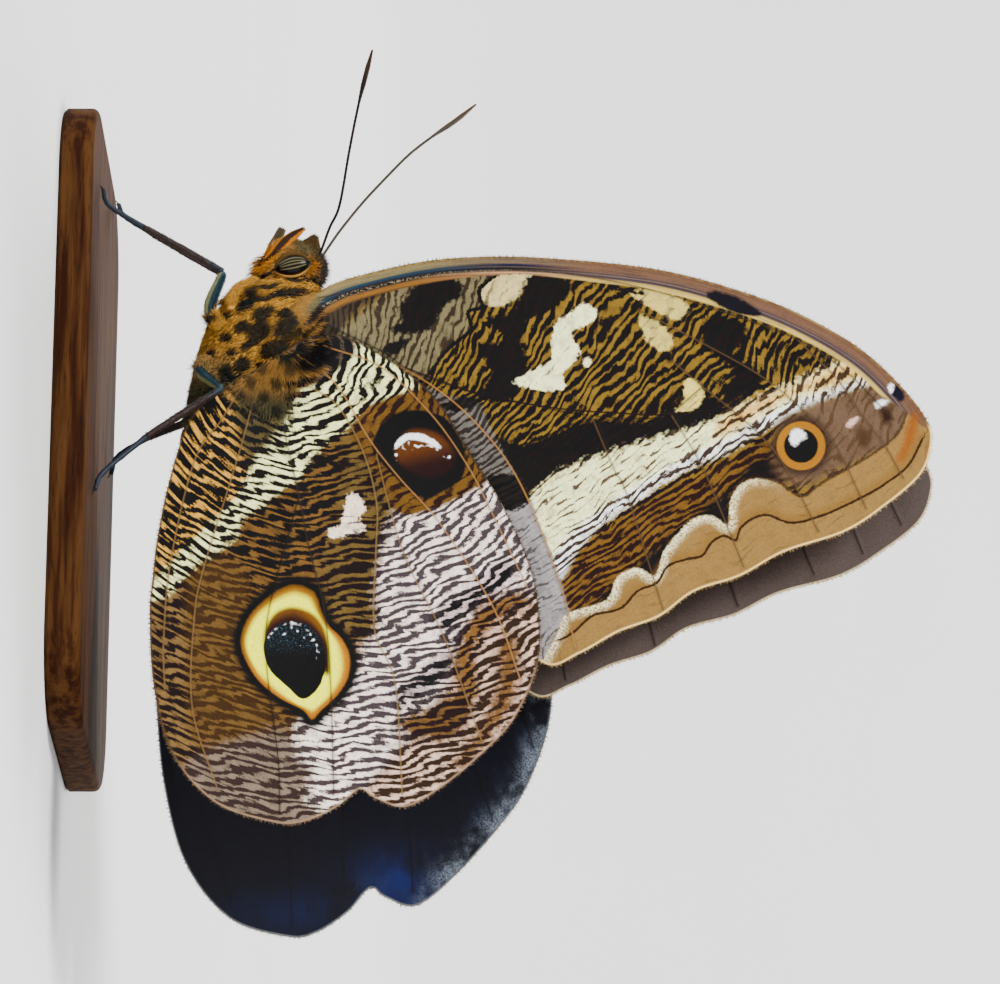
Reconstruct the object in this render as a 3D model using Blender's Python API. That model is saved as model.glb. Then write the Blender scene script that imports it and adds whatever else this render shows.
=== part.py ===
"""An owl butterfly standing at rest with its wings raised over its back, on a small wooden base.

The head points along +X, the back is up along +Z, and the insect's left side faces +Y.
The origin is the middle of the base's underside. Every size that starts in millimetres is
multiplied by MM, so the model itself is in metres.
"""
import math

import bmesh
import bpy
import numpy as np
from mathutils import Vector
from mathutils.geometry import delaunay_2d_cdt

MM = 0.001
GAP = 0.3

# Base, a flat wooden plate with rounded corners
BASE_LENGTH = 76.0
BASE_WIDTH = 42.0
BASE_HEIGHT = 4.0
BASE_CORNER = 10.0
BASE_BEVEL = 0.8
FLOOR = BASE_HEIGHT + GAP

# Wing sheets: half the thickness of the membrane, and the veins raised on both faces
MEMBRANE_HALF = 0.27
VEIN_RAISE = 0.2
VEIN_HALF_WIDTH = 0.48
VEIN_MARGIN = 0.9
OUTLINE_STEP = 2.3
VEIN_STEP = 3.2
FILL_STEP = 4.6

# Set of the wings: how far each lies from the middle plane
FOREWING_ROOT = (15.2, 25.6)
FOREWING_NEAR = 1.6
FOREWING_SPREAD = 0.028
ROOT_SPREAD = 3.2
ROOT_REACH = 8.0
LAYER = 1.5
FLARE = 12.0
FLARE_START = 5.0
FLARE_LENGTH = 53.0
FLARE_POWER = 1.6
FLARE_ORIGIN = (15.0, 29.0)
FLARE_DIRECTION = (-0.906, -0.42)
FLANK_BULGE = 1.5
FLANK_CENTRE = (5.0, 18.0)
FLANK_REACH = 7.0
HINDWING_ROOT = (11.0, 25.5)
# The right wings stand a little further out than the left ones: root, stretch and turn in degrees
NEAR_SET = ((0.0, 0.0), 1.0, 0.0)
FAR_FOREWING_SET = (FOREWING_ROOT, 1.015, 2.2)
FAR_HINDWING_SET = (HINDWING_ROOT, 1.05, 0.0)
SOCKET_REACH = 11.0

# Outlines and veins of the left wings, in millimetres along X and Z, from the root outwards
FOREWING_COSTA = [
    (15.6, 25.8), (17.6, 28.3), (20.6, 32.9), (22.9, 40.8), (23.6, 48.5), (23.3, 57.1),
    (21.7, 69.8), (18.4, 80.6), (15.0, 87.8), (11.0, 93.7), (6.1, 98.3), (2.0, 100.9),
]
FOREWING_OUTER = [
    (-0.7, 101.2), (-4.4, 99.8), (-8.2, 95.6), (-11.4, 90.8), (-13.8, 83.8), (-16.7, 78.7),
    (-18.6, 73.3), (-21.6, 69.3), (-23.5, 64.5), (-26.1, 60.0),
]
FOREWING_INNER = [(-27.3, 56.1), (-21.9, 50.9), (-7.0, 41.6), (5.5, 33.3), (10.9, 28.2), (12.9, 25.5)]
FOREWING_VEINS = {
    "radial": [(17.5, 29.2), (20.8, 39.1), (21.7, 48.5), (21.4, 58.0), (19.5, 67.4), (16.4, 76.8),
               (12.7, 85.8), (8.6, 91.4), (2.5, 96.8)],
    "radial_fork": [(12.7, 85.8), (7.7, 90.3), (2.7, 93.4), (-0.5, 95.6), (-4.9, 97.8)],
    "upper_median": [(16.5, 67.4), (12.5, 74.4), (8.3, 81.2), (4.2, 85.9), (-0.5, 89.9), (-8.6, 93.4)],
    "middle_median": [(10.2, 71.0), (6.8, 74.7), (1.9, 80.1), (-2.9, 83.9), (-11.4, 87.8)],
    "cubital": [(15.0, 28.8), (11.8, 36.5), (8.9, 40.9), (6.2, 48.4), (4.8, 54.4), (3.3, 61.6),
                (3.1, 69.6), (6.8, 74.7)],
    "cubital_fork_1": [(3.2, 71.0), (-2.6, 74.2), (-7.2, 76.0), (-15.7, 79.1)],
    "cubital_fork_2": [(3.3, 61.6), (-3.2, 64.1), (-6.7, 65.7), (-20.8, 69.7)],
    "anal": [(13.4, 27.8), (11.6, 34.4), (8.0, 41.9), (2.4, 48.2), (-5.0, 53.2), (-17.0, 57.7), (-25.4, 59.6)],
}
HINDWING_COSTA = [
    (10.4, 25.9), (11.8, 28.1), (12.5, 30.2), (12.5, 32.8), (10.6, 36.8), (7.7, 40.9), (4.0, 44.1),
    (-1.8, 47.4), (-8.3, 51.1), (-16.3, 54.4), (-23.2, 55.4),
]
HINDWING_OUTER = [
    (-29.2, 55.1), (-35.8, 52.6), (-40.2, 49.3), (-44.8, 44.8), (-47.9, 40.4), (-46.9, 36.9),
    (-45.9, 35.2), (-48.4, 32.6), (-50.4, 29.0), (-50.6, 25.8), (-48.4, 19.4), (-42.5, 14.5), (-33.9, 12.0),
]
HINDWING_INNER = [
    (-24.5, 11.1), (-19.6, 11.2), (-14.3, 11.5), (-8.1, 12.3), (-2.7, 13.4), (1.0, 14.6), (3.8, 16.5),
    (5.2, 18.5), (7.6, 21.7),
]
HINDWING_VEINS = {
    "costal": [(11.2, 30.2), (9.1, 36.8), (3.4, 42.6), (-2.7, 46.7), (-8.2, 49.4), (-19.0, 54.0)],
    "radial": [(9.9, 27.2), (6.6, 31.8), (-0.2, 35.7), (-5.1, 39.2), (-11.2, 44.1), (-21.7, 50.1), (-31.6, 53.4)],
    "median_1": [(-2.1, 36.5), (-12.0, 38.9), (-17.7, 40.9), (-25.8, 44.5), (-39.3, 48.9)],
    "median_3": [(6.5, 28.2), (4.2, 31.8), (-1.6, 34.9), (-8.5, 36.6), (-15.2, 36.6), (-25.1, 36.6), (-32.0, 39.0),
                 (-46.4, 40.0)],
    "cubital_1": [(7.8, 25.2), (1.3, 25.7), (-7.2, 27.5), (-14.5, 28.9), (-22.6, 30.8), (-31.8, 31.7), (-46.8, 32.4)],
    "cubital_2": [(-8.2, 27.5), (-21.3, 24.8), (-26.6, 24.3), (-32.3, 24.7), (-42.5, 26.1), (-49.6, 26.5)],
    "anal_2": [(6.7, 22.7), (0.5, 21.3), (-17.5, 17.0), (-25.5, 16.1), (-36.5, 16.4), (-46.9, 19.6)],
    "anal_3": [(5.8, 20.8), (1.6, 18.5), (-3.8, 15.4), (-16.8, 13.2), (-27.4, 12.8), (-34.0, 13.2)],
}

# Body, from rings across its length: (place along X, height of the middle, half width, half height)
HEAD_RINGS = [
    (20.95, 25.9, 2.4, 3.1), (21.6, 26.1, 3.0, 3.7), (22.8, 26.3, 3.2, 4.0), (24.1, 26.3, 3.0, 3.7),
    (25.2, 26.0, 2.4, 3.0), (26.0, 25.7, 1.6, 2.1), (26.5, 25.5, 0.7, 1.0),
]
THORAX_RINGS = [
    (5.6, 18.9, 3.4, 4.6), (7.0, 19.7, 4.1, 5.5), (9.5, 20.9, 4.9, 6.2), (12.0, 22.0, 5.4, 6.8), (14.5, 22.9, 5.6, 7.0),
    (16.6, 23.7, 5.3, 6.8), (18.4, 24.6, 4.7, 6.1), (19.8, 25.2, 3.9, 5.2), (20.6, 25.6, 3.1, 4.2),
]
ABDOMEN_RINGS = [
    (-23.5, 14.3, 0.9, 0.9), (-22.6, 14.4, 1.7, 1.6), (-20.0, 14.7, 2.4, 2.3), (-16.0, 15.1, 2.9, 2.8),
    (-12.0, 15.5, 3.1, 3.1), (-8.0, 15.9, 3.2, 3.3), (-4.0, 16.4, 3.2, 3.5), (0.0, 17.0, 3.2, 3.8),
    (3.2, 17.8, 3.2, 4.2), (5.3, 18.5, 3.1, 4.3),
]
SEGMENT_STEP = 0.12
BODY_SIDES = 20
HINGE_BOSS = {"centre": (12.8, 3.9, 25.2), "radii": (4.2, 2.1, 3.1)}

# Small pieces of the head
EYE = {"centre": (22.25, 2.5, 26.4), "radii": (1.45, 1.45, 2.25)}
PALP_LEFT = [(23.5, 1.6, 23.2), (24.4, 2.3, 24.35), (25.3, 2.3, 25.2), (26.3, 2.0, 26.1), (27.6, 1.5, 27.55)]
PALP_RIGHT = [(24.0, 1.8, 23.4), (25.4, 2.0, 23.4), (26.7, 2.0, 23.75), (27.9, 1.9, 24.35), (28.95, 1.8, 24.85)]
PALP_RADII = (0.5, 0.74, 0.35)
ANTENNA_LEFT = [
    (23.6, 1.1, 28.4), (24.2, 1.4, 29.4), (27.1, 3.0, 30.7), (29.4, 4.5, 31.9), (34.9, 8.0, 33.1), (39.4, 11.0, 34.2),
    (42.4, 13.0, 35.1), (44.7, 15.0, 35.9),
]
ANTENNA_RIGHT = [
    (23.9, 1.1, 28.4), (25.0, 1.4, 29.5), (29.2, 3.0, 31.7), (33.8, 5.0, 34.4), (37.9, 7.0, 37.1), (41.8, 9.0, 39.8),
    (45.1, 11.0, 42.6), (48.1, 13.0, 45.4), (51.2, 15.0, 47.9),
]
ANTENNA_RADIUS = 0.26
ANTENNA_CLUB = 0.36
COIL_CENTRE = (25.4, 24.0)
COIL_RADII = (0.6, 1.1)
COIL_TURNS = 0.9
COIL_THICKNESS = 0.2

# Legs: hip, femur bend, knee, ankle, heel and toe. The far ones stand a little further forward.
LEGS = {
    "midleg_left": [(13.6, 3.6, 18.4), (15.8, 5.4, 16.7), (19.6, 7.5, 18.4), (23.8, 11.0, 9.2), (25.9, 12.4, 5.3),
                    (27.6, 13.4, FLOOR + 0.3)],
    "hindleg_left": [(10.4, 3.2, 16.9), (8.0, 5.2, 15.8), (4.7, 8.0, 18.5), (-2.3, 10.5, 10.0), (-7.2, 12.3, 5.5),
                     (-9.6, 13.1, FLOOR + 0.3)],
    "midleg_right": [(13.6, -3.6, 18.4), (19.0, -4.7, 16.4), (24.6, -5.5, 17.7), (31.0, -8.0, 8.8),
                     (33.6, -8.8, 5.4), (35.4, -9.4, FLOOR + 0.3)],
    "hindleg_right": [(10.4, -3.2, 16.9), (9.6, -4.6, 15.4), (7.8, -6.2, 17.9), (4.4, -7.6, 8.9), (2.4, -8.4, 5.4),
                      (0.4, -9.2, FLOOR + 0.3)],
}
FEMUR_RADII = (0.5, 0.6, 0.45)
TIBIA_RADII = (0.42, 0.48, 0.38)
TARSUS_RADII = (0.36, 0.32, 0.3)
LEG_SIDES = 8
SPUR_LENGTH = 1.5
SPUR_RADII = (0.28, 0.2, 0.06)
CLAW_LENGTH = 0.9
CLAW_RADII = (0.2, 0.16, 0.05)
FORELEG = [(16.0, 4.2, 19.2), (17.9, 4.0, 19.4), (19.5, 3.3, 20.5), (20.6, 2.4, 22.2)]
FORELEG_RADII = (0.5, 0.6, 0.35)


def clear_scene():
    for item in list(bpy.data.objects):
        bpy.data.objects.remove(item, do_unlink=True)


def finish_material(name, colour, roughness):
    material = bpy.data.materials.new(name)
    material.use_nodes = True
    shader = material.node_tree.nodes["Principled BSDF"]
    shader.inputs["Base Color"].default_value = (*colour, 1.0)
    shader.inputs["Roughness"].default_value = roughness
    return material


def add_object(name, verts, faces, material=None):
    """One closed mesh from points in millimetres."""
    mesh = bpy.data.meshes.new(name)
    mesh.from_pydata([tuple(MM * c for c in v) for v in verts], [], [tuple(f) for f in faces])
    build = bmesh.new()
    build.from_mesh(mesh)
    bmesh.ops.triangulate(build, faces=build.faces)
    bmesh.ops.recalc_face_normals(build, faces=build.faces)
    build.to_mesh(mesh)
    build.free()
    item = bpy.data.objects.new(name, mesh)
    bpy.context.scene.collection.objects.link(item)
    if material:
        mesh.materials.append(material)
    return item


def keep_largest(item):
    """Leaves only the closed surface that has the most faces."""
    build = bmesh.new()
    build.from_mesh(item.data)
    build.faces.ensure_lookup_table()
    groups = []
    seen = set()
    for start in build.faces:
        if start in seen:
            continue
        group = [start]
        seen.add(start)
        for face in group:
            for edge in face.edges:
                for other in edge.link_faces:
                    if other not in seen:
                        seen.add(other)
                        group.append(other)
        groups.append(group)
    groups.sort(key=len, reverse=True)
    scraps = {face for group in groups[1:] for face in group}
    bmesh.ops.delete(build, geom=list(scraps), context="FACES")
    bmesh.ops.triangulate(build, faces=build.faces)
    build.to_mesh(item.data)
    build.free()


def combine(item, others, operation):
    """Joins closed meshes to one, or cuts them from it, then removes them."""
    group = bpy.data.collections.new("operands")
    bpy.context.scene.collection.children.link(group)
    for other in others:
        bpy.context.scene.collection.objects.unlink(other)
        group.objects.link(other)
    modifier = item.modifiers.new("combine", "BOOLEAN")
    modifier.operation = operation
    modifier.operand_type = "COLLECTION"
    modifier.collection = group
    modifier.solver = "EXACT"
    shape = bpy.data.meshes.new_from_object(item.evaluated_get(bpy.context.evaluated_depsgraph_get()))
    item.modifiers.remove(modifier)
    item.data = shape
    for other in others:
        bpy.data.objects.remove(other, do_unlink=True)
    bpy.data.collections.remove(group)
    keep_largest(item)


def smooth_path(points, step):
    """A smooth curve through the points, read about every step, with both ends kept."""
    known = np.array(points, float)
    known = np.vstack([2 * known[0] - known[1], known, 2 * known[-1] - known[-2]])
    out = []
    for i in range(1, len(known) - 2):
        a, b, c, d = known[i - 1:i + 3]
        pieces = max(1, round(np.linalg.norm(c - b) / step))
        for t in np.arange(pieces) / pieces:
            out.append(0.5 * (2 * b + (c - a) * t + (2 * a - 5 * b + 4 * c - d) * t ** 2
                              + (3 * b - a - 3 * c + d) * t ** 3))
    out.append(known[-2])
    return np.array(out)


def tube(points, radii, sides=LEG_SIDES):
    """A closed tube along the points. Its radius runs through the given values from end to end."""
    points = np.array(points, float)
    along = np.linspace(0, len(radii) - 1, len(points))
    sizes = np.interp(along, range(len(radii)), radii)
    verts = []
    for i, centre in enumerate(points):
        ahead = points[min(i + 1, len(points) - 1)] - points[max(i - 1, 0)]
        ahead = Vector(ahead).normalized()
        side = Vector((0, 0, 1)).cross(ahead).normalized()
        up = ahead.cross(side)
        for k in range(sides):
            angle = 2 * math.pi * (k + 0.5) / sides
            verts.append(Vector(centre) + float(sizes[i]) * (math.cos(angle) * side + math.sin(angle) * up))
    return verts, ring_faces(len(points), sides)


def ring_faces(rings, sides):
    """Faces that join rings of points, with a flat cap at each end."""
    faces = [tuple(range(sides)), tuple(range((rings - 1) * sides, rings * sides))]
    for i in range(rings - 1):
        for k in range(sides):
            n = (k + 1) % sides
            faces.append((i * sides + k, i * sides + n, (i + 1) * sides + n, (i + 1) * sides + k))
    return faces


def body_part(rings):
    """A closed body from oval rings across X."""
    verts = []
    for x, middle, half_width, half_height in rings:
        for k in range(BODY_SIDES):
            angle = 2 * math.pi * k / BODY_SIDES
            verts.append((x, half_width * math.cos(angle), middle + half_height * math.sin(angle)))
    return verts, ring_faces(len(rings), BODY_SIDES)


def segmented(rings):
    """The abdomen's rings, with a small step where each segment overlaps the next one back."""
    stepped = [rings[0], rings[1]]
    for x, middle, half_width, half_height in rings[2:-1]:
        stepped.append((x, middle, half_width - SEGMENT_STEP, half_height - SEGMENT_STEP))
        stepped.append((x + 2 * SEGMENT_STEP, middle, half_width + SEGMENT_STEP, half_height + SEGMENT_STEP))
    return stepped + [rings[-1]]


def ellipsoid(centre, radii, around=16, along=10):
    verts = [(centre[0], centre[1], centre[2] + radii[2]), (centre[0], centre[1], centre[2] - radii[2])]
    for i in range(1, along):
        tilt = math.pi * i / along
        for k in range(around):
            turn = 2 * math.pi * k / around
            verts.append((
                centre[0] + radii[0] * math.sin(tilt) * math.cos(turn),
                centre[1] + radii[1] * math.sin(tilt) * math.sin(turn),
                centre[2] + radii[2] * math.cos(tilt),
            ))
    faces = []
    last = 2 + (along - 2) * around
    for k in range(around):
        n = (k + 1) % around
        faces.append((0, 2 + k, 2 + n))
        faces.append((1, last + n, last + k))
        for i in range(along - 2):
            low = 2 + i * around
            faces.append((low + k, low + around + k, low + around + n, low + n))
    return verts, faces


def forewing_height(x, z):
    """Distance of the forewing's middle layer from the middle plane."""
    reach = math.hypot(x - FOREWING_ROOT[0], z - FOREWING_ROOT[1])
    return FOREWING_NEAR + FOREWING_SPREAD * reach + ROOT_SPREAD * math.exp(-(reach / ROOT_REACH) ** 2)


def hindwing_height(x, z):
    """The hindwing lies outside the forewing and flares away from it towards its lower edge."""
    down = (x - FLARE_ORIGIN[0]) * FLARE_DIRECTION[0] + (z - FLARE_ORIGIN[1]) * FLARE_DIRECTION[1]
    flare = FLARE * max(0.0, (down - FLARE_START) / FLARE_LENGTH) ** FLARE_POWER
    flank = math.hypot(x - FLANK_CENTRE[0], z - FLANK_CENTRE[1])
    return forewing_height(x, z) + LAYER + flare + FLANK_BULGE * math.exp(-(flank / FLANK_REACH) ** 2)


def inside(outline, point):
    """Whether a flat point lies inside a closed outline."""
    x, z = point
    odd = False
    for (xa, za), (xb, zb) in zip(outline, np.roll(outline, -1, axis=0)):
        if (za > z) != (zb > z) and x < xa + (z - za) * (xb - xa) / (zb - za):
            odd = not odd
    return odd


def distance_to_path(point, path):
    """Shortest distance from a flat point to a path."""
    a = path[:-1]
    span = path[1:] - a
    t = np.clip(((point - a) * span).sum(1) / (span ** 2).sum(1), 0, 1)
    return np.min(np.linalg.norm(a + t[:, None] * span - point, axis=1))


def wing_points(outline, veins):
    """The flat points that a wing's triangles use, and the edges that run along its margin and veins."""
    points = [tuple(p) for p in outline]
    edges = [(i, (i + 1) % len(outline)) for i in range(len(outline))]
    closed = np.vstack([outline, outline[:1]])

    def free(point, distance):
        return np.min(np.linalg.norm(np.array(points) - point, axis=1)) > distance

    for path in veins:
        last = None
        for point in path:
            near = np.linalg.norm(np.array(points) - point, axis=1)
            if near.min() < VEIN_HALF_WIDTH:
                here = int(near.argmin())
            else:
                points.append(tuple(point))
                here = len(points) - 1
            if last is not None and last != here:
                edges.append((last, here))
            last = here
    for path in veins:
        for side in (-1, 1):
            last = None
            for i, point in enumerate(path):
                along = path[min(i + 1, len(path) - 1)] - path[max(i - 1, 0)]
                across = np.array((-along[1], along[0])) / np.linalg.norm(along)
                foot = point + side * 1.02 * VEIN_HALF_WIDTH * across
                clear = min(distance_to_path(foot, other) for other in veins) > 0.9 * VEIN_HALF_WIDTH
                if not (clear and distance_to_path(foot, closed) > 0.4 * VEIN_HALF_WIDTH and free(foot, 0.3)):
                    last = None
                    continue
                points.append(tuple(foot))
                if last is not None:
                    edges.append((last, len(points) - 1))
                last = len(points) - 1
    low, high = outline.min(0), outline.max(0)
    for row, z in enumerate(np.arange(low[1], high[1], FILL_STEP * 0.87)):
        for x in np.arange(low[0] + (row % 2) * FILL_STEP / 2, high[0], FILL_STEP):
            spot = np.array((x, z))
            if inside(outline, spot) and distance_to_path(spot, closed) > 1.6 and free(spot, 0.55 * FILL_STEP):
                points.append((x, z))
    return points, edges


def wing_sheet(outline, veins, height, side, half=MEMBRANE_HALF, raised=VEIN_RAISE):
    """A thin closed sheet. Both faces have the same triangles, and the veins stand out of each."""
    points, edges = wing_points(outline, veins)
    flat, _, triangles, *_ = delaunay_2d_cdt([Vector(p) for p in points], edges, [], 0, 1e-5)
    flat = np.array([tuple(p) for p in flat])
    kept = [f for f in triangles if inside(outline, flat[list(f)].mean(0))]
    lift = []
    for point in flat:
        near = min([distance_to_path(point, path) for path in veins], default=VEIN_HALF_WIDTH)
        lift.append(half + raised * max(0.0, 1 - near / VEIN_HALF_WIDTH))
    verts = []
    for face in (1, -1):
        for (x, z), rise in zip(flat, lift):
            verts.append((x, side * height(x, z) + face * rise, z))
    count = len(flat)
    faces = [tuple(f) for f in kept] + [tuple(count + i for i in reversed(f)) for f in kept]
    border = {(f[i], f[(i + 1) % 3]) for f in kept for i in range(3)}
    border = [(a, b) for a, b in border if (b, a) not in border]
    faces += [(b, a, count + a, count + b) for a, b in sorted(border)]
    return verts, faces


def wing_outline(costa, outer, inner):
    """One closed outline: the smooth costa and outer margin, the inner margin and the short root edge."""
    return smooth_path(costa + outer + inner, OUTLINE_STEP)


def set_out(points, root, stretch, turn):
    """Flat points stretched from the root and turned about it, the tip towards the tail."""
    c, s = math.cos(math.radians(turn)), math.sin(math.radians(turn))
    return np.array(root) + stretch * (np.array(points) - np.array(root)) @ np.array(((c, s), (-s, c)))


def trimmed_vein(points, outline):
    """A smooth vein that stops just inside the margin."""
    closed = np.vstack([outline, outline[:1]])
    path = smooth_path(points, VEIN_STEP)
    return np.array([p for p in path if inside(outline, p) and distance_to_path(p, closed) > VEIN_MARGIN])


def wing(name, side, costa, outer, inner, veins, height, material, place):
    """One wing, and the cutter that makes room for its root."""
    outline = set_out(wing_outline(costa, outer, inner), *place)
    paths = [trimmed_vein(set_out(path, *place), outline) for path in veins.values()]
    item = add_object(name, *wing_sheet(outline, paths, height, side), material)
    return item, root_cutter(outline, height, side)


def root_cutter(outline, height, side):
    """A slightly larger copy of the wing's first stretch."""
    start = (outline[0] + outline[-1]) / 2
    near = [i for i in range(len(outline)) if np.linalg.norm(outline[i] - start) < SOCKET_REACH]
    half = len(outline) // 2
    order = [i for i in near if i > half] + [i for i in near if i <= half]
    ring = outline[order]
    middle = ring.mean(0)
    grown = []
    for i in range(len(ring)):
        along = ring[min(i + 1, len(ring) - 1)] - ring[max(i - 1, 0)]
        away = np.array((along[1], -along[0])) / np.linalg.norm(along)
        if np.dot(away, ring[i] - middle) < 0:
            away = -away
        grown.append(ring[i] + GAP * away)
    grown = np.array(grown)
    verts, faces = wing_sheet(grown, [], height, side, half=MEMBRANE_HALF + VEIN_RAISE + GAP)
    return add_object("wing_slot", verts, faces)


def base(material):
    verts = []
    corners = ((1, 1, 0), (-1, 1, 90), (-1, -1, 180), (1, -1, 270))
    levels = ((0.0, BASE_BEVEL / 2), (BASE_BEVEL / 2, 0.0), (BASE_HEIGHT - BASE_BEVEL, 0.0),
              (BASE_HEIGHT - 0.3 * BASE_BEVEL, 0.3 * BASE_BEVEL), (BASE_HEIGHT, BASE_BEVEL))
    steps = 8
    for z, inset in levels:
        for sx, sy, first in corners:
            for k in range(steps + 1):
                angle = math.radians(first + 90 * k / steps)
                verts.append((
                    sx * (BASE_LENGTH / 2 - BASE_CORNER) + (BASE_CORNER - inset) * math.cos(angle),
                    sy * (BASE_WIDTH / 2 - BASE_CORNER) + (BASE_CORNER - inset) * math.sin(angle),
                    z,
                ))
    return add_object("stand_base", verts, ring_faces(len(levels), len(corners) * (steps + 1)), material)


def joint_inset(before, joint, after, radius):
    """How far each of two tubes stops short of the bend between them, so that they keep their gap."""
    a = Vector(before) - Vector(joint)
    b = Vector(after) - Vector(joint)
    bend = math.pi - a.angle(b)
    return radius * math.tan(bend / 2) + 0.6 * GAP


def between(start, end, cut_start, cut_end):
    """The stretch from start to end, shortened at both ends."""
    a, b = Vector(start), Vector(end)
    way = (b - a).normalized()
    return a + cut_start * way, b - cut_end * way


def leg(name, points, materials):
    """Femur, tibia and tarsus, each a tapered tube, and the cutter for the hip's socket."""
    hip, bend, knee, ankle, heel, toe = points
    knee_cut = joint_inset(bend, knee, ankle, FEMUR_RADII[-1])
    ankle_cut = joint_inset(knee, ankle, heel, TIBIA_RADII[-1])
    _, knee_end = between(bend, knee, 0, knee_cut)
    femur_path = smooth_path([hip, bend, tuple(knee_end)], 1.2)
    add_object(name + "_femur", *tube(femur_path, FEMUR_RADII), materials["femur"])
    start, end = between(knee, ankle, knee_cut, ankle_cut)
    tibia_path = smooth_path([tuple(start), tuple((start + end) / 2), tuple(end)], 2.0)
    tibia = add_object(name + "_tibia", *tube(tibia_path, TIBIA_RADII), materials["tibia"])
    combine(tibia, forked_points(tibia_path[-1], start, end, SPUR_LENGTH, SPUR_RADII, 1.1), "UNION")
    start, _ = between(ankle, heel, ankle_cut, 0)
    tarsus_path = smooth_path([tuple(start), heel, toe], 1.0)
    tarsus_path[:, 2] = np.maximum(tarsus_path[:, 2], toe[2])
    tarsus = add_object(name + "_tarsus", *tube(tarsus_path, TARSUS_RADII), materials["tarsus"])
    claws = forked_points(tarsus_path[-1], Vector(heel), Vector(toe), CLAW_LENGTH, CLAW_RADII, 0.35)
    combine(tarsus, claws, "UNION")
    socket = smooth_path([hip, bend], 1.2)
    first = Vector(socket[0]) - (Vector(bend) - Vector(hip)).normalized() * GAP
    socket[0] = first
    return add_object(name + "_socket", *tube(socket, [r + GAP for r in FEMUR_RADII[:2]]))


def forked_points(tip, start, end, length, radii, back):
    """A pair of small tapered spurs or claws that fork from near a segment's tip and keep above its underside."""
    way = (end - start).normalized()
    flat = Vector((0, 0, 1)).cross(way).normalized()
    pair = []
    for side in (1, -1):
        root = Vector(tip) - back * way
        point = root + length * (0.8 * way + side * 0.6 * flat)
        point.z = max(point.z, FLOOR + radii[-1])
        path = [tuple(root.lerp(point, t)) for t in (0, 0.5, 1)]
        pair.append(add_object("fork", *tube(path, radii, 6)))
    return pair


def mirrored(points, side):
    return [(x, side * y, z) for x, y, z in points]


def build_thorax(material, cutters):
    thorax = add_object("thorax", *body_part(THORAX_RINGS), material)
    bosses = []
    for side in (1, -1):
        x, y, z = HINGE_BOSS["centre"]
        bosses.append(add_object("boss", *ellipsoid((x, side * y, z), HINGE_BOSS["radii"])))
    combine(thorax, bosses, "UNION")
    for side in (1, -1):
        path = smooth_path(mirrored(FORELEG, side), 1.0)
        cutters.append(add_object("foreleg_socket", *tube(path, [r + GAP for r in FORELEG_RADII])))
    combine(thorax, cutters, "DIFFERENCE")


def build_head(material):
    head = add_object("head", *body_part(HEAD_RINGS), material)
    cutters = []
    for side in (1, -1):
        x, y, z = EYE["centre"]
        cutters.append(add_object("eye_socket", *ellipsoid((x, side * y, z), [r + GAP for r in EYE["radii"]])))
        palp = smooth_path(mirrored(PALP_LEFT if side > 0 else PALP_RIGHT, side), 0.8)
        cutters.append(add_object("palp_socket", *tube(palp, [r + GAP for r in PALP_RADII])))
        feeler = smooth_path(mirrored(ANTENNA_LEFT[:2] if side > 0 else ANTENNA_RIGHT[:2], side), 2.0)
        cutters.append(add_object("feeler_socket", *tube(feeler, [ANTENNA_RADIUS + GAP] * 2)))
    cutters.append(add_object("coil_socket", *tube(coil_path(), [COIL_THICKNESS + GAP])))
    combine(head, cutters, "DIFFERENCE")


def coil_path():
    """The coiled tongue's middle line, from the inside out, then up into the head."""
    points = []
    steps = 22
    for i in range(steps + 1):
        t = i / steps
        radius = COIL_RADII[0] + (COIL_RADII[1] - COIL_RADII[0]) * t
        angle = math.radians(150) - 2 * math.pi * COIL_TURNS * (1 - t)
        points.append((COIL_CENTRE[0] + radius * math.cos(angle), 0.0, COIL_CENTRE[1] + radius * math.sin(angle)))
    return points


def antenna(name, points, side, material):
    path = smooth_path(mirrored(points, side), 1.8)
    radii = [ANTENNA_RADIUS] * 8 + [ANTENNA_CLUB, ANTENNA_CLUB, 0.2]
    add_object(name, *tube(path, radii, 6), material)


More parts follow.
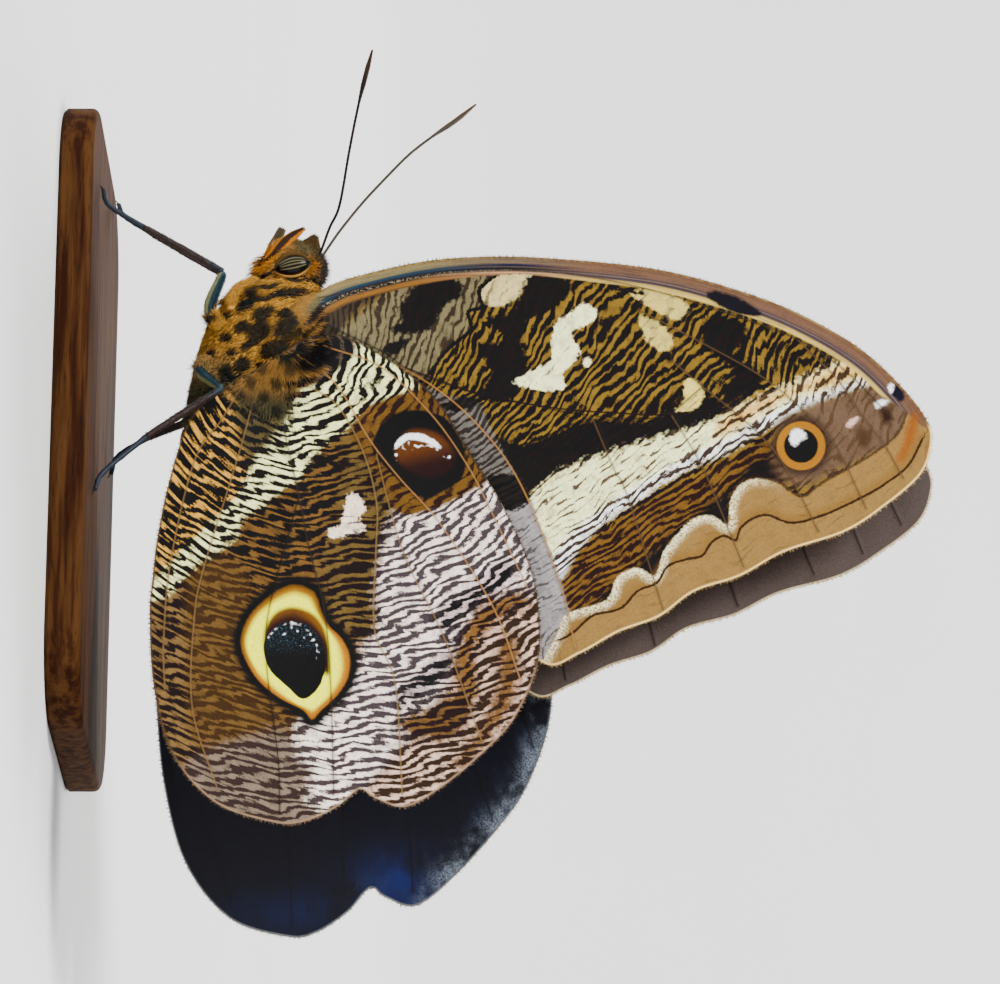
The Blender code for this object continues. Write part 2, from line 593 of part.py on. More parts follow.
def main():
    clear_scene()
    colours = {
        "forewing": finish_material("forewing", (0.42, 0.30, 0.16), 0.7),
        "hindwing": finish_material("hindwing", (0.50, 0.40, 0.28), 0.7),
        "body": finish_material("body", (0.45, 0.27, 0.09), 0.9),
        "eye": finish_material("eye", (0.10, 0.06, 0.03), 0.15),
        "femur": finish_material("femur", (0.10, 0.20, 0.24), 0.6),
        "tibia": finish_material("tibia", (0.16, 0.12, 0.12), 0.6),
        "tarsus": finish_material("tarsus", (0.12, 0.14, 0.17), 0.6),
        "feeler": finish_material("feeler", (0.09, 0.05, 0.04), 0.5),
        "base": finish_material("base", (0.20, 0.10, 0.05), 0.4),
    }
    base(colours["base"])
    cutters = []
    for word, side, fore, hind in (("left", 1, NEAR_SET, NEAR_SET), ("right", -1, FAR_FOREWING_SET, FAR_HINDWING_SET)):
        _, cutter = wing("forewing_" + word, side, FOREWING_COSTA, FOREWING_OUTER, FOREWING_INNER, FOREWING_VEINS,
                         forewing_height, colours["forewing"], fore)
        cutters.append(cutter)
        _, cutter = wing("hindwing_" + word, side, HINDWING_COSTA, HINDWING_OUTER, HINDWING_INNER, HINDWING_VEINS,
                         hindwing_height, colours["hindwing"], hind)
        cutters.append(cutter)
        add_object("eye_" + word, *ellipsoid((EYE["centre"][0], side * EYE["centre"][1], EYE["centre"][2]),
                                             EYE["radii"]), colours["eye"])
        palp = smooth_path(mirrored(PALP_LEFT if side > 0 else PALP_RIGHT, side), 0.8)
        add_object("palp_" + word, *tube(palp, PALP_RADII), colours["body"])
        antenna("antenna_" + word, ANTENNA_LEFT if side > 0 else ANTENNA_RIGHT, side, colours["feeler"])
        foreleg = smooth_path(mirrored(FORELEG, side), 1.0)
        add_object("foreleg_" + word, *tube(foreleg, FORELEG_RADII), colours["body"])
    for name, points in LEGS.items():
        cutters.append(leg(name, points, colours))
    build_thorax(colours["body"], cutters)
    build_head(colours["body"])
    add_object("proboscis", *tube(coil_path(), [COIL_THICKNESS]), colours["feeler"])
    add_object("abdomen", *body_part(segmented(ABDOMEN_RINGS)), colours["body"])


main()
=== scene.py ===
"""Looks of an owl butterfly at rest with raised wings, on a small wooden base.

Sizes are in millimetres and are multiplied by MM where a mesh is made. The head points along +X,
the wings rise along +Z, and the insect's left side faces +Y. The markings of the wings are drawn in
the pixels of the picture's frame: each point of a wing is seen through the scene's own camera once,
while the script runs, and the distances to the named outlines are kept on the mesh.
"""
import math

import bpy
import numpy as np
from mathutils import Matrix, Vector
from mathutils.geometry import delaunay_2d_cdt

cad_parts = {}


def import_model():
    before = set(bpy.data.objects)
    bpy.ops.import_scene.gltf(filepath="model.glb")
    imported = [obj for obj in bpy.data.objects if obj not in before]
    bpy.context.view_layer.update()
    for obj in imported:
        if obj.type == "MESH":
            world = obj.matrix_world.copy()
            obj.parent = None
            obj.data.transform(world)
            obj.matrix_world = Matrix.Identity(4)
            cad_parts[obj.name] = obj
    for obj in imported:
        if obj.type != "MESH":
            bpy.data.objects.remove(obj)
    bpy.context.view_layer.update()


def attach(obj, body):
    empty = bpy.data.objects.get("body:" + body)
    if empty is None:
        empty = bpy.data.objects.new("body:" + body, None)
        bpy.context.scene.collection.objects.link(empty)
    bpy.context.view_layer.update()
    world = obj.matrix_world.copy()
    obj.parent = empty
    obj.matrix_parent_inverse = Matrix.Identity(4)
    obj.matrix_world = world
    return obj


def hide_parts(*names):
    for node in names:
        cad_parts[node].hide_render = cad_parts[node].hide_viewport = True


MM = 0.001
SEED = 11
SIDES = (("left", 1), ("right", -1))

# How the usual film look turns light into screen values, and the light that the scene's lamps give
SCREEN_VALUES = (0, 9, 18, 32, 51, 76, 111, 149, 170, 184, 197, 209, 217, 227, 255)
SCREEN_LIGHT = (0.0, 0.005, 0.01, 0.02, 0.04, 0.08, 0.16, 0.32, 0.5, 0.7, 1.0, 1.5, 2.0, 3.0, 8.0)
LIGHT_LEVEL = 2.35
LOOK_SCREEN = ((0.591, 0.336, 0.073), (0.120, 0.831, 0.049), (0.097, 0.206, 0.697))
LOOK_LIGHT = ((1.953, -0.835, -0.118), (-0.306, 1.532, -0.226), (-0.179, -0.304, 1.483))
HAZE = 0.012

# Camera, in millimetres: what it looks at, how far off it is, and the frame in pixels
CAMERA_TARGET = (-5.17, 0.0, 50.9)
CAMERA_DISTANCE = 600.0
CAMERA_BACK = math.radians(20)
FRAME_SIZE = (1000, 984)
PIXEL = 0.117

# Floor and lamps: name, direction that the light comes from, strength, and width in degrees
FLOOR_FLAT = 1800.0
FLOOR_CURVE = 1200.0
WORLD_LIGHT = 0.5
LAMPS = [
    ("key", (0.35, 0.60, 0.72), 5.6, 20),
    ("fill", (-0.70, 0.62, 0.36), 1.3, 40),
    ("back", (0.10, -0.66, 0.74), 3.6, 30),
]

# How the wings stand off the middle plane and from each other, the same as in the solids
FOREWING_ROOT = (15.2, 25.6)
FOREWING_NEAR = 1.6
FOREWING_SPREAD = 0.028
ROOT_SPREAD = 3.2
ROOT_REACH = 8.0
LAYER = 1.5
FLARE = 12.0
FLARE_START = 5.0
FLARE_LENGTH = 53.0
FLARE_POWER = 1.6
FLARE_ORIGIN = (15.0, 29.0)
FLARE_DIRECTION = (-0.906, -0.42)
FLANK_BULGE = 1.5
FLANK_CENTRE = (5.0, 18.0)
FLANK_REACH = 7.0
HINDWING_ROOT = (11.0, 25.5)
# Root, stretch and turn in degrees: the right wings stand a little further out than the left ones
NEAR_SET = ((0.0, 0.0), 1.0, 0.0)
FAR_SETS = {"forewing": (FOREWING_ROOT, 1.015, 2.2), "hindwing": (HINDWING_ROOT, 1.05, 0.0)}

# Wing meshes
MARGIN_STEP = 0.42
VEIN_STEP = 0.45
FILL_STEP = 0.42
SHEET_INNER = 0.02
SHEET_OUTER = 0.12
VEIN_RELIEF = 0.08
VEIN_FOOT = 0.26
CELL_WAVE = 0.1
RIPPLE = 1.12
RIPPLE_DRIFT = 3.0
RIPPLE_JAG = 0.9
WING_GRAIN = 0.03
# Baking map: size of a tuft's own patch, the free edge and the rest
PATCH = 0.003
UV_EDGE = 0.02
UV_SPAN = 0.96

# Outlines and veins of the left wings, in millimetres along X and Z
FOREWING_COSTA = [
    (15.6, 25.8), (17.6, 28.3), (20.6, 32.9), (22.9, 40.8), (23.6, 48.5), (23.3, 57.1), (21.7, 69.8),
    (18.4, 80.6), (15.0, 87.8), (11.0, 93.7), (6.1, 98.3), (2.0, 100.9),
]
FOREWING_OUTER = [
    (-0.7, 101.2), (-4.4, 99.8), (-8.2, 95.6), (-11.4, 90.8), (-13.8, 83.8), (-16.7, 78.7), (-18.6, 73.3),
    (-21.6, 69.3), (-23.5, 64.5), (-26.1, 60.0),
]
FOREWING_INNER = [(-27.3, 56.1), (-21.9, 50.9), (-7.0, 41.6), (5.5, 33.3), (10.9, 28.2), (12.9, 25.5)]
FOREWING_VEINS = {
    "radial": [(17.5, 29.2), (20.8, 39.1), (21.7, 48.5), (21.4, 58.0), (19.5, 67.4), (16.4, 76.8),
               (12.7, 85.8), (8.6, 91.4), (2.5, 96.8)],
    "radial_fork": [(12.7, 85.8), (7.7, 90.3), (2.7, 93.4), (-0.5, 95.6), (-4.9, 97.8)],
    "upper_median": [(16.5, 67.4), (12.5, 74.4), (8.3, 81.2), (4.2, 85.9), (-0.5, 89.9), (-8.6, 93.4)],
    "middle_median": [(10.2, 71.0), (6.8, 74.7), (1.9, 80.1), (-2.9, 83.9), (-11.4, 87.8)],
    "cubital": [(15.0, 28.8), (11.8, 36.5), (8.9, 40.9), (6.2, 48.4), (4.8, 54.4), (3.3, 61.6),
                (3.1, 69.6), (6.8, 74.7)],
    "cubital_fork_1": [(3.2, 71.0), (-2.6, 74.2), (-7.2, 76.0), (-15.7, 79.1)],
    "cubital_fork_2": [(3.3, 61.6), (-3.2, 64.1), (-6.7, 65.7), (-20.8, 69.7)],
    "anal": [(13.4, 27.8), (11.6, 34.4), (8.0, 41.9), (2.4, 48.2), (-5.0, 53.2), (-17.0, 57.7),
             (-25.4, 59.6)],
}
HINDWING_COSTA = [
    (10.4, 25.9), (11.8, 28.1), (12.5, 30.2), (12.5, 32.8), (10.6, 36.8), (7.7, 40.9), (4.0, 44.1),
    (-1.8, 47.4), (-8.3, 51.1), (-16.3, 54.4), (-23.2, 55.4),
]
HINDWING_OUTER = [
    (-29.2, 55.1), (-35.8, 52.6), (-40.2, 49.3), (-44.8, 44.8), (-47.9, 40.4), (-46.9, 36.9),
    (-45.9, 35.2), (-48.4, 32.6), (-50.4, 29.0), (-50.6, 25.8), (-48.4, 19.4), (-42.5, 14.5),
    (-33.9, 12.0),
]
HINDWING_INNER = [
    (-24.5, 11.1), (-19.6, 11.2), (-14.3, 11.5), (-8.1, 12.3), (-2.7, 13.4), (1.0, 14.6), (3.8, 16.5),
    (5.2, 18.5), (7.6, 21.7),
]
HINDWING_VEINS = {
    "costal": [(11.2, 30.2), (9.1, 36.8), (3.4, 42.6), (-2.7, 46.7), (-8.2, 49.4), (-19.0, 54.0)],
    "radial": [(9.9, 27.2), (6.6, 31.8), (-0.2, 35.7), (-5.1, 39.2), (-11.2, 44.1), (-21.7, 50.1),
               (-31.6, 53.4)],
    "median_1": [(-2.1, 36.5), (-12.0, 38.9), (-17.7, 40.9), (-25.8, 44.5), (-39.3, 48.9)],
    "median_3": [(6.5, 28.2), (4.2, 31.8), (-1.6, 34.9), (-8.5, 36.6), (-15.2, 36.6), (-25.1, 36.6),
                 (-32.0, 39.0), (-46.4, 40.0)],
    "cubital_1": [(7.8, 25.2), (1.3, 25.7), (-7.2, 27.5), (-14.5, 28.9), (-22.6, 30.8), (-31.8, 31.7),
                  (-46.8, 32.4)],
    "cubital_2": [(-8.2, 27.5), (-21.3, 24.8), (-26.6, 24.3), (-32.3, 24.7), (-42.5, 26.1), (-49.6, 26.5)],
    "anal_2": [(6.7, 22.7), (0.5, 21.3), (-17.5, 17.0), (-25.5, 16.1), (-36.5, 16.4), (-46.9, 19.6)],
    "anal_3": [(5.8, 20.8), (1.6, 18.5), (-3.8, 15.4), (-16.8, 13.2), (-27.4, 12.8), (-34.0, 13.2)],
}

# Colours of the markings, as screen values from 0 to 255
ORANGE = (0.27, 0.105, 0.003)
BLACK = (17, 11, 11)
BROWN = (36, 22, 15)
OCHRE = (166, 128, 50)
OLIVE = (134, 106, 50)
CREAM = (240, 234, 208)
TAN = (184, 146, 94)
BUFF = (174, 142, 88)
HINDWING_LIGHT = (146, 106, 46)

# Veins that stand out from the rest in colour
HINDWING_VEIN_TINTS = {
    "costal": TAN, "radial": TAN, "cubital_1": (58, 46, 38), "cubital_2": (40, 30, 24),
    "median_3": (160, 124, 76),
}
FOREWING_VEIN_TINTS = {"radial": (66, 48, 38), "cubital": (30, 26, 32), "anal": (190, 148, 88)}

# Fields of the hindwing's underside, each with its light colour, its dark colour, the share of dark
# in its ripples, the softness and the raggedness of its edge, and its outline. Later ones lie on top.
HINDWING_FIELDS = [
    ("inner_zone", (212, 184, 130), (28, 22, 19), 0.66, 4, 5,
     [(246, 404), (252, 440), (246, 468), (240, 500), (222, 530), (195, 552), (168, 580), (140, 600),
      (140, 520), (165, 440), (200, 396)]),
    ("inner_edge", (158, 122, 74), BROWN, 0.56, 5, 6,
     [(140, 590), (170, 570), (186, 590), (190, 640), (188, 700), (200, 770), (180, 780), (140, 690)]),
    ("disc", (146, 106, 48), (28, 15, 10), 0.6, 8, 11,
     [(205, 560), (232, 539), (256, 510), (304, 475), (326, 443), (349, 426), (372, 450), (376, 500),
      (350, 520), (330, 560), (290, 575), (255, 590), (232, 620), (215, 600)]),
    ("disc_olive", OLIVE, BROWN, 0.56, 8, 8,
     [(345, 426), (368, 452), (392, 500), (400, 530), (382, 560), (380, 600), (378, 628), (352, 640),
      (326, 600), (318, 570), (330, 520), (338, 470)]),
    ("white_zone", (220, 213, 210), (84, 72, 76), 0.53, 10, 13,
     [(388, 530), (400, 512), (440, 500), (470, 480), (500, 480), (530, 560), (545, 620), (500, 622),
      (470, 650), (440, 700), (400, 752), (350, 800), (318, 800), (316, 730), (340, 704), (356, 670),
      (364, 648), (380, 628), (378, 590)]),
    ("white_dark_1", (204, 196, 196), (26, 20, 26), 0.64, 10, 12,
     [(438, 610), (470, 586), (500, 560), (516, 566), (506, 590), (476, 610), (446, 632), (436, 628)]),
    ("white_dark_2", (190, 180, 180), (26, 20, 26), 0.64, 10, 12,
     [(398, 690), (430, 664), (456, 640), (460, 654), (440, 684), (412, 702), (396, 704)]),
    ("outer_zone", (208, 196, 186), (60, 42, 30), 0.57, 9, 13,
     [(484, 618), (560, 590), (560, 700), (500, 770), (420, 830), (366, 800), (396, 756), (440, 700),
      (462, 650)]),
    ("outer_ochre_1", (150, 106, 46), (40, 22, 14), 0.56, 9, 13,
     [(476, 606), (520, 590), (530, 606), (500, 622), (478, 650), (480, 690), (462, 700), (452, 660)]),
    ("outer_ochre_2", (138, 98, 46), (40, 24, 16), 0.58, 9, 13,
     [(452, 690), (476, 690), (470, 722), (452, 740), (420, 742), (398, 730), (400, 716), (430, 706)]),
    ("outer_ochre_3", (146, 104, 52), (54, 34, 22), 0.52, 9, 12,
     [(498, 640), (520, 640), (516, 700), (484, 748), (462, 770), (452, 764), (476, 730), (494, 690)]),
    ("speckled", (134, 98, 44), (74, 48, 20), 0.56, 10, 12,
     [(192, 570), (232, 560), (250, 590), (238, 640), (248, 680), (280, 712), (300, 730), (270, 745),
      (215, 760), (196, 740), (188, 660)]),
    ("lower_zone", (160, 142, 124), (64, 48, 44), 0.56, 9, 12,
     [(188, 762), (230, 742), (275, 730), (300, 735), (316, 742), (320, 830), (240, 830), (196, 800)]),
    ("foot_white", (222, 214, 210), (84, 70, 70), 0.46, 9, 11,
     [(300, 722), (322, 718), (350, 740), (352, 790), (330, 812), (308, 800), (312, 770), (296, 750)]),
    ("cream_band", CREAM, (30, 22, 20), 0.52, 4, 9,
     [(300, 390), (279, 422), (267, 443), (256, 453), (250, 470), (240, 492), (214, 520), (178, 556),
      (150, 590), (158, 602), (196, 566), (232, 540), (242, 520), (256, 510), (279, 492), (304, 475),
      (312, 459), (326, 443), (349, 426), (366, 406), (396, 396), (416, 384), (376, 350), (345, 332),
      (320, 370)]),
    ("dusk", (112, 92, 50), (22, 17, 12), 0.6, 9, 6,
     [(238, 398), (285, 390), (292, 412), (272, 440), (258, 454), (244, 462), (234, 430)]),
    ("shoulder", (120, 96, 80), (18, 12, 12), 0.74, 3, 3,
     [(296, 346), (334, 330), (356, 342), (348, 362), (334, 372), (322, 384), (300, 384), (286, 366)]),
    ("seahorse", (220, 212, 204), (120, 104, 104), 0.12, 1.5, 5,
     [(352, 492), (362, 499), (365, 512), (358, 519), (367, 529), (352, 535), (330, 538), (326, 530),
      (338, 526), (344, 512), (346, 498)]),
    ("eye_bed", (138, 96, 32), (50, 28, 10), 0.4, 3, 5,
     [(352, 430), (380, 402), (420, 392), (450, 404), (474, 440), (486, 482), (470, 492), (440, 508),
      (404, 516), (388, 500), (374, 470), (362, 452)]),
]
OVAL_RIM = [
    (372, 447), (378, 430), (391, 416), (412, 410), (441, 416), (459, 436), (466, 458), (462, 478),
    (444, 491), (424, 499), (400, 482), (380, 462),
]
OVAL_HEART = [
    (396, 449), (406, 433), (421, 430), (440, 436), (453, 450), (456, 460), (447, 472), (425, 477),
    (406, 469), (397, 459),
]
OVAL_GLINT = [
    (394, 450), (397, 441), (404, 435), (413, 433), (424, 435), (434, 440), (442, 448), (436, 448),
    (427, 443), (417, 440), (408, 440), (400, 446),
]
OVAL_DOTS = [
    (396, 455, 1.7), (397, 460, 1.2), (404, 445, 1.2), (409, 443, 1.3), (415, 446, 1.4), (421, 446, 1.1),
    (431, 446, 1.4), (438, 450, 1.3), (449, 457, 1.6), (447, 460, 1.1), (406, 449, 0.9), (412, 449, 0.8),
    (400, 443, 1.1), (402, 448, 0.9), (418, 447, 1.0), (424, 448, 0.9), (408, 446, 0.9), (417, 452, 0.7),
    (443, 456, 0.8), (451, 460, 0.7), (427, 445, 1.0), (434, 447, 0.9),
]
RING_RIM = [
    (298, 584), (316, 593), (322, 611), (329, 625), (343, 639), (351, 657), (349, 678), (338, 696),
    (322, 711), (312, 721), (302, 710), (278, 698), (257, 680), (243, 656), (240, 637), (249, 615),
    (266, 598), (283, 587),
]
RING_PUPIL = [
    (291, 622), (308, 626), (321, 641), (325, 662), (319, 686), (303, 699), (288, 687), (271, 671),
    (265, 656), (265, 642), (275, 628),
]
RING_CRESCENT = [
    (264, 650), (265, 630), (274, 614), (290, 607), (308, 611), (321, 622), (328, 640), (330, 660),
    (327, 676), (300, 655), (268, 650),
]
RING_AMBER = [
    (330, 620), (356, 640), (360, 690), (322, 720), (300, 720), (250, 690), (236, 650), (262, 672),
    (300, 704), (318, 704), (338, 672),
]
# Bands of the ring. Their places run from its halo at 0, past its rim at a third, to its pupil at two thirds.
RING_STOPS = [
    (0.0, (12, 8, 8)), (0.315, (22, 12, 8)), (0.345, (112, 70, 16)), (0.39, (184, 134, 38)),
    (0.45, (250, 230, 130)), (0.655, (254, 240, 168)), (0.672, (10, 7, 8)), (1.0, (8, 7, 10)),
]
RING_DOTS = [
    (269, 637, 1.6), (272, 633, 1.1), (276, 630, 1.5), (280, 627, 1.2), (286, 624, 1.4), (291, 623, 1.7),
    (296, 624, 1.8), (300, 625, 1.5), (306, 630, 1.4), (310, 634, 1.6), (314, 640, 1.4), (317, 646, 1.6),
    (318, 652, 1.7), (316, 659, 1.2), (318, 661, 1.0), (270, 643, 1.0), (285, 634, 1.2), (292, 629, 1.3),
    (298, 631, 1.2), (304, 637, 1.2), (309, 641, 1.0), (300, 645, 0.9), (289, 640, 0.8), (281, 637, 0.9),
]

# Fields of the forewing's underside
FOREWING_FIELDS = [
    ("base_dark", (72, 58, 42), (40, 30, 24), 0.5, 8, 4,
     [(290, 320), (330, 292), (380, 278), (410, 276), (396, 292), (366, 306), (350, 322), (340, 345),
      (300, 350)]),
    ("cell_cream", (150, 136, 102), (66, 52, 40), 0.42, 5, 6,
     [(340, 340), (356, 318), (384, 296), (410, 280), (450, 276), (495, 276), (479, 290), (481, 307),
      (468, 311), (470, 329), (452, 344), (442, 355), (429, 373), (412, 378), (380, 366)]),
    ("blotch_1", (34, 26, 18), BLACK, 0.5, 2, 5,
     [(404, 300), (412, 288), (430, 280), (452, 278), (464, 286), (460, 298), (446, 304), (438, 318),
      (428, 330), (408, 334), (388, 330), (402, 322), (398, 310)]),
    ("blotch_1b", (34, 26, 18), BLACK, 0.5, 2, 4,
     [(381, 352), (390, 343), (408, 338), (402, 350), (392, 356)]),
    ("pale_1", (206, 198, 172), (150, 132, 96), 0.2, 2, 4,
     [(497, 276), (538, 275), (526, 290), (512, 302), (497, 306), (484, 303), (482, 291)]),
    ("blotch_2", (34, 24, 18), BLACK, 0.5, 2, 6,
     [(530, 276), (570, 281), (566, 298), (552, 310), (528, 320), (521, 342), (529, 364), (522, 384),
      (508, 402), (476, 396), (492, 376), (478, 346), (504, 340), (486, 318), (512, 312)]),
    ("figure", (228, 222, 204), (150, 130, 112), 0.12, 1.5, 4,
     [(583, 303), (598, 312), (590, 324), (574, 330), (573, 340), (581, 350), (574, 362), (561, 375),
      (567, 387), (544, 391), (513, 382), (538, 368), (551, 360), (552, 341), (558, 320), (572, 312)]),
    ("figure_dot", (228, 222, 204), (150, 130, 112), 0.08, 1.5, 2,
     [(583, 358), (590, 357), (592, 364), (587, 368), (582, 365)]),
    ("pale_2", (206, 196, 156), (146, 126, 88), 0.16, 2, 5,
     [(630, 292), (656, 291), (682, 299), (688, 312), (674, 321), (658, 312), (642, 303)]),
    ("pale_3", (206, 196, 156), (146, 126, 88), 0.16, 2, 5,
     [(638, 316), (654, 320), (672, 336), (672, 346), (660, 351), (648, 342), (641, 330)]),
    ("dark_column", BROWN, BLACK, 0.6, 3, 7,
     [(712, 316), (742, 322), (746, 344), (734, 352), (746, 364), (764, 376), (752, 392), (730, 404),
      (722, 392), (734, 372), (714, 356), (700, 336)]),
    ("dark_band", BROWN, BLACK, 0.6, 3, 7,
     [(496, 440), (520, 444), (552, 434), (590, 420), (650, 422), (672, 404), (700, 384), (716, 400),
      (742, 396), (718, 414), (700, 427), (660, 438), (616, 452), (582, 462), (552, 476), (530, 494),
      (516, 510), (500, 500)]),
    ("comma", (212, 202, 164), (150, 130, 92), 0.12, 1.5, 4,
     [(688, 378), (700, 384), (704, 396), (697, 408), (684, 413), (675, 410), (684, 400), (683, 390)]),
    ("white_bar", (240, 226, 206), (110, 86, 66), 0.26, 5, 9,
     [(512, 520), (530, 496), (556, 474), (590, 459), (640, 443), (701, 425), (742, 405), (783, 388),
      (830, 366), (856, 362), (890, 378), (866, 384), (834, 394), (800, 408), (764, 428), (730, 450),
      (700, 462), (668, 478), (640, 498), (610, 516), (580, 545), (556, 580), (536, 570)]),
    ("bar_low", (238, 230, 222), (74, 56, 48), 0.5, 5, 6,
     [(548, 566), (576, 530), (610, 503), (640, 485), (668, 467), (700, 451), (730, 437), (764, 417),
      (800, 399), (834, 388), (866, 376), (880, 380), (834, 396), (800, 409), (764, 429), (730, 450),
      (700, 463), (668, 479), (640, 499), (610, 517), (580, 546), (560, 580)]),
    ("under_bar", (146, 104, 34), (46, 26, 10), 0.54, 7, 9,
     [(560, 590), (584, 548), (616, 520), (650, 500), (690, 478), (736, 456), (772, 440), (790, 480),
      (740, 520), (690, 545), (650, 585), (600, 620), (566, 630)]),
    ("low_dark", BROWN, BLACK, 0.55, 6, 6,
     [(574, 628), (600, 598), (636, 566), (676, 530), (730, 488), (752, 462), (776, 462), (786, 482),
      (750, 484), (732, 496), (728, 528), (694, 522), (678, 540), (656, 580), (636, 574), (606, 604)]),
    ("apex_veil", (132, 104, 80), (104, 74, 50), 0.3, 8, 4,
     [(778, 424), (800, 410), (835, 396), (868, 386), (896, 386), (912, 400), (904, 440), (872, 456),
      (840, 470), (820, 480), (796, 486), (776, 470)]),
    ("bar_ochre", (214, 192, 152), (78, 56, 38), 0.5, 8, 9,
     [(724, 418), (764, 398), (800, 384), (838, 366), (868, 362), (880, 374), (850, 382), (812, 392),
      (776, 404), (744, 424), (716, 436)]),
]
# The pale margin, which lies over the silver strip as well
BUFF_FIELD = (
    "buff", BUFF, (156, 122, 70), 0.16, 1.5, 3,
    [(560, 628), (568, 614), (607, 600), (617, 578), (638, 568), (655, 577), (664, 552), (678, 534),
      (694, 519), (712, 516), (728, 526), (730, 504), (738, 488), (753, 479), (778, 483), (801, 498),
      (823, 483), (848, 470), (882, 449), (900, 432), (908, 412), (916, 402), (950, 440), (940, 490),
      (880, 530), (780, 580), (660, 640), (540, 690)],
)
SILVER_FIELDS = [
    ("silver", (146, 138, 130), (58, 50, 46), 0.5, 2, 3,
     [(396, 384), (420, 384), (452, 398), (477, 401), (495, 437), (520, 483), (543, 534), (559, 580),
      (573, 628), (579, 652), (550, 680), (480, 620), (400, 480), (360, 400)]),
    ("silver_pale", (182, 178, 178), (112, 106, 104), 0.24, 3, 5,
     [(500, 512), (528, 498), (543, 534), (559, 580), (573, 628), (579, 652), (550, 680), (500, 600)]),
    ("silver_black", (44, 38, 34), BLACK, 0.5, 2, 5,
     [(440, 405), (472, 396), (480, 404), (462, 412), (448, 412)]),
    ("silver_black_2", (44, 38, 34), BLACK, 0.5, 2, 5,
     [(484, 478), (518, 476), (530, 500), (508, 512), (494, 500)]),
]

# Lines along the forewing's leading edge, in pixels: how far they reach, where their pale row ends, their
# width at places across the picture, and for each set where it fades in and its colours from the edge
COSTA_REACH = 30.0
COSTA_ROW_END = (600.0, 520.0)
COSTA_WIDTHS = [(300, 27), (430, 24), (520, 18.5), (600, 22), (700, 24), (880, 22), (930, 4)]
COSTA_LINES = [
    (None, [
        (0, (140, 112, 36)), (1.5, (150, 134, 80)), (4, (164, 146, 108)), (8.5, (144, 132, 98)),
        (9.8, (44, 78, 98)), (13, (34, 56, 76)), (14.5, (22, 18, 22)), (17.5, (30, 24, 24)),
        (19, (150, 106, 52)), (22, (172, 118, 46)), (25, (112, 76, 34)), (30, (70, 50, 30)),
    ]),
    ((400.0, 520.0), [
        (0, (122, 90, 30)), (1.5, (120, 104, 88)), (6.5, (150, 126, 100)), (8.4, (36, 48, 84)),
        (10, (28, 28, 50)), (11, (112, 98, 84)), (12.2, (24, 18, 24)), (14.5, (58, 50, 50)),
        (15.6, (150, 136, 122)), (17.2, (212, 190, 166)), (18.6, (186, 150, 116)), (30, (90, 70, 54)),
    ]),
    ((510.0, 610.0), [
        (0, (160, 104, 46)), (1.5, (136, 100, 72)), (8, (146, 110, 84)), (11.5, (132, 102, 84)),
        (12.5, (84, 72, 88)), (14, (150, 126, 104)), (15, (78, 64, 82)), (17, (100, 84, 82)),
        (18.8, (202, 184, 138)), (23, (206, 190, 148)), (25, (70, 54, 40)), (30, (60, 44, 34)),
    ]),
]

# The forewing's eyespot, in pixels
SPOT_CENTRE = (801, 446)
SPOT_RING = 24.0
SPOT_PUPIL = 16.8
SPOT_GLINT = [
    (790, 438), (792, 431), (798, 429), (804, 432), (806, 438), (800, 441), (796, 446), (791, 444),
]

# Lines and small marks of the forewing. Each mark has a name, a colour, a softness and an outline.
MARGIN_LINE = [
    (560, 640), (573, 633), (592, 616), (613, 611), (624, 606), (638, 591), (657, 583), (668, 566),
    (688, 559), (702, 556), (712, 542), (724, 536), (736, 541), (740, 529), (752, 519), (767, 515),
    (786, 522), (801, 522), (829, 513), (865, 496), (885, 484), (908, 466), (922, 440),
]
FOLD_LINE = [
    (405, 368), (440, 381), (480, 395), (520, 403), (560, 409), (610, 413), (660, 415), (700, 411),
]
CELL_LINE = [
    (495, 276), (479, 290), (482, 307), (468, 312), (471, 329), (454, 344), (443, 355), (430, 373),
]
APEX_MARKS = [
    ("apex_1", (90, 62, 40), 6, [(856, 432), (864, 428), (870, 436), (868, 446), (860, 446)]),
    ("apex_2", (58, 36, 24), 4, [(881, 410), (888, 408), (892, 416), (889, 424), (883, 422)]),
    ("apex_3", (18, 20, 44), 1.6, [(890, 386), (896, 385), (903, 392), (904, 401), (898, 401), (892, 394)]),
    ("apex_glint_1", (236, 230, 236), 1.5, [(889, 384), (894, 385), (893, 391), (891, 394), (888, 389)]),
    ("apex_glint_2", (232, 222, 226), 2, [(874, 404), (882, 400), (889, 402), (884, 405), (878, 409)]),
    ("apex_glint_3", (210, 196, 190), 2, [(846, 424), (856, 417), (860, 418), (850, 428)]),
    ("costa_patch", (28, 20, 34), 2,
     [(706, 295), (716, 291), (738, 298), (754, 307), (762, 316), (744, 316), (722, 308)]),
    ("costa_dash", (30, 22, 30), 1.2, [(606, 288), (626, 288), (648, 293), (646, 296), (622, 292)]),
    ("apex_orange", (176, 104, 30), 5,
     [(912, 414), (918, 418), (914, 440), (904, 460), (896, 462), (902, 446)]),
]

# Upper sides: colours near the root, far from it, in the patches and at the last edge
FOREWING_UPPER = ((122, 98, 74), (100, 82, 74), (112, 96, 92), (200, 190, 172))
HINDWING_UPPER = ((34, 30, 36), (22, 22, 36), (26, 52, 108), (132, 138, 140))
# Blue patches of the hindwing's upper side: middle, width and height in pixels, and strength
BLUE_PATCHES = [(400, 880, 40, 26, 1.0), (300, 912, 80, 20, 0.35)]
UPPER_FROST = (330, 430)
UPPER_PALE = (400, 460)

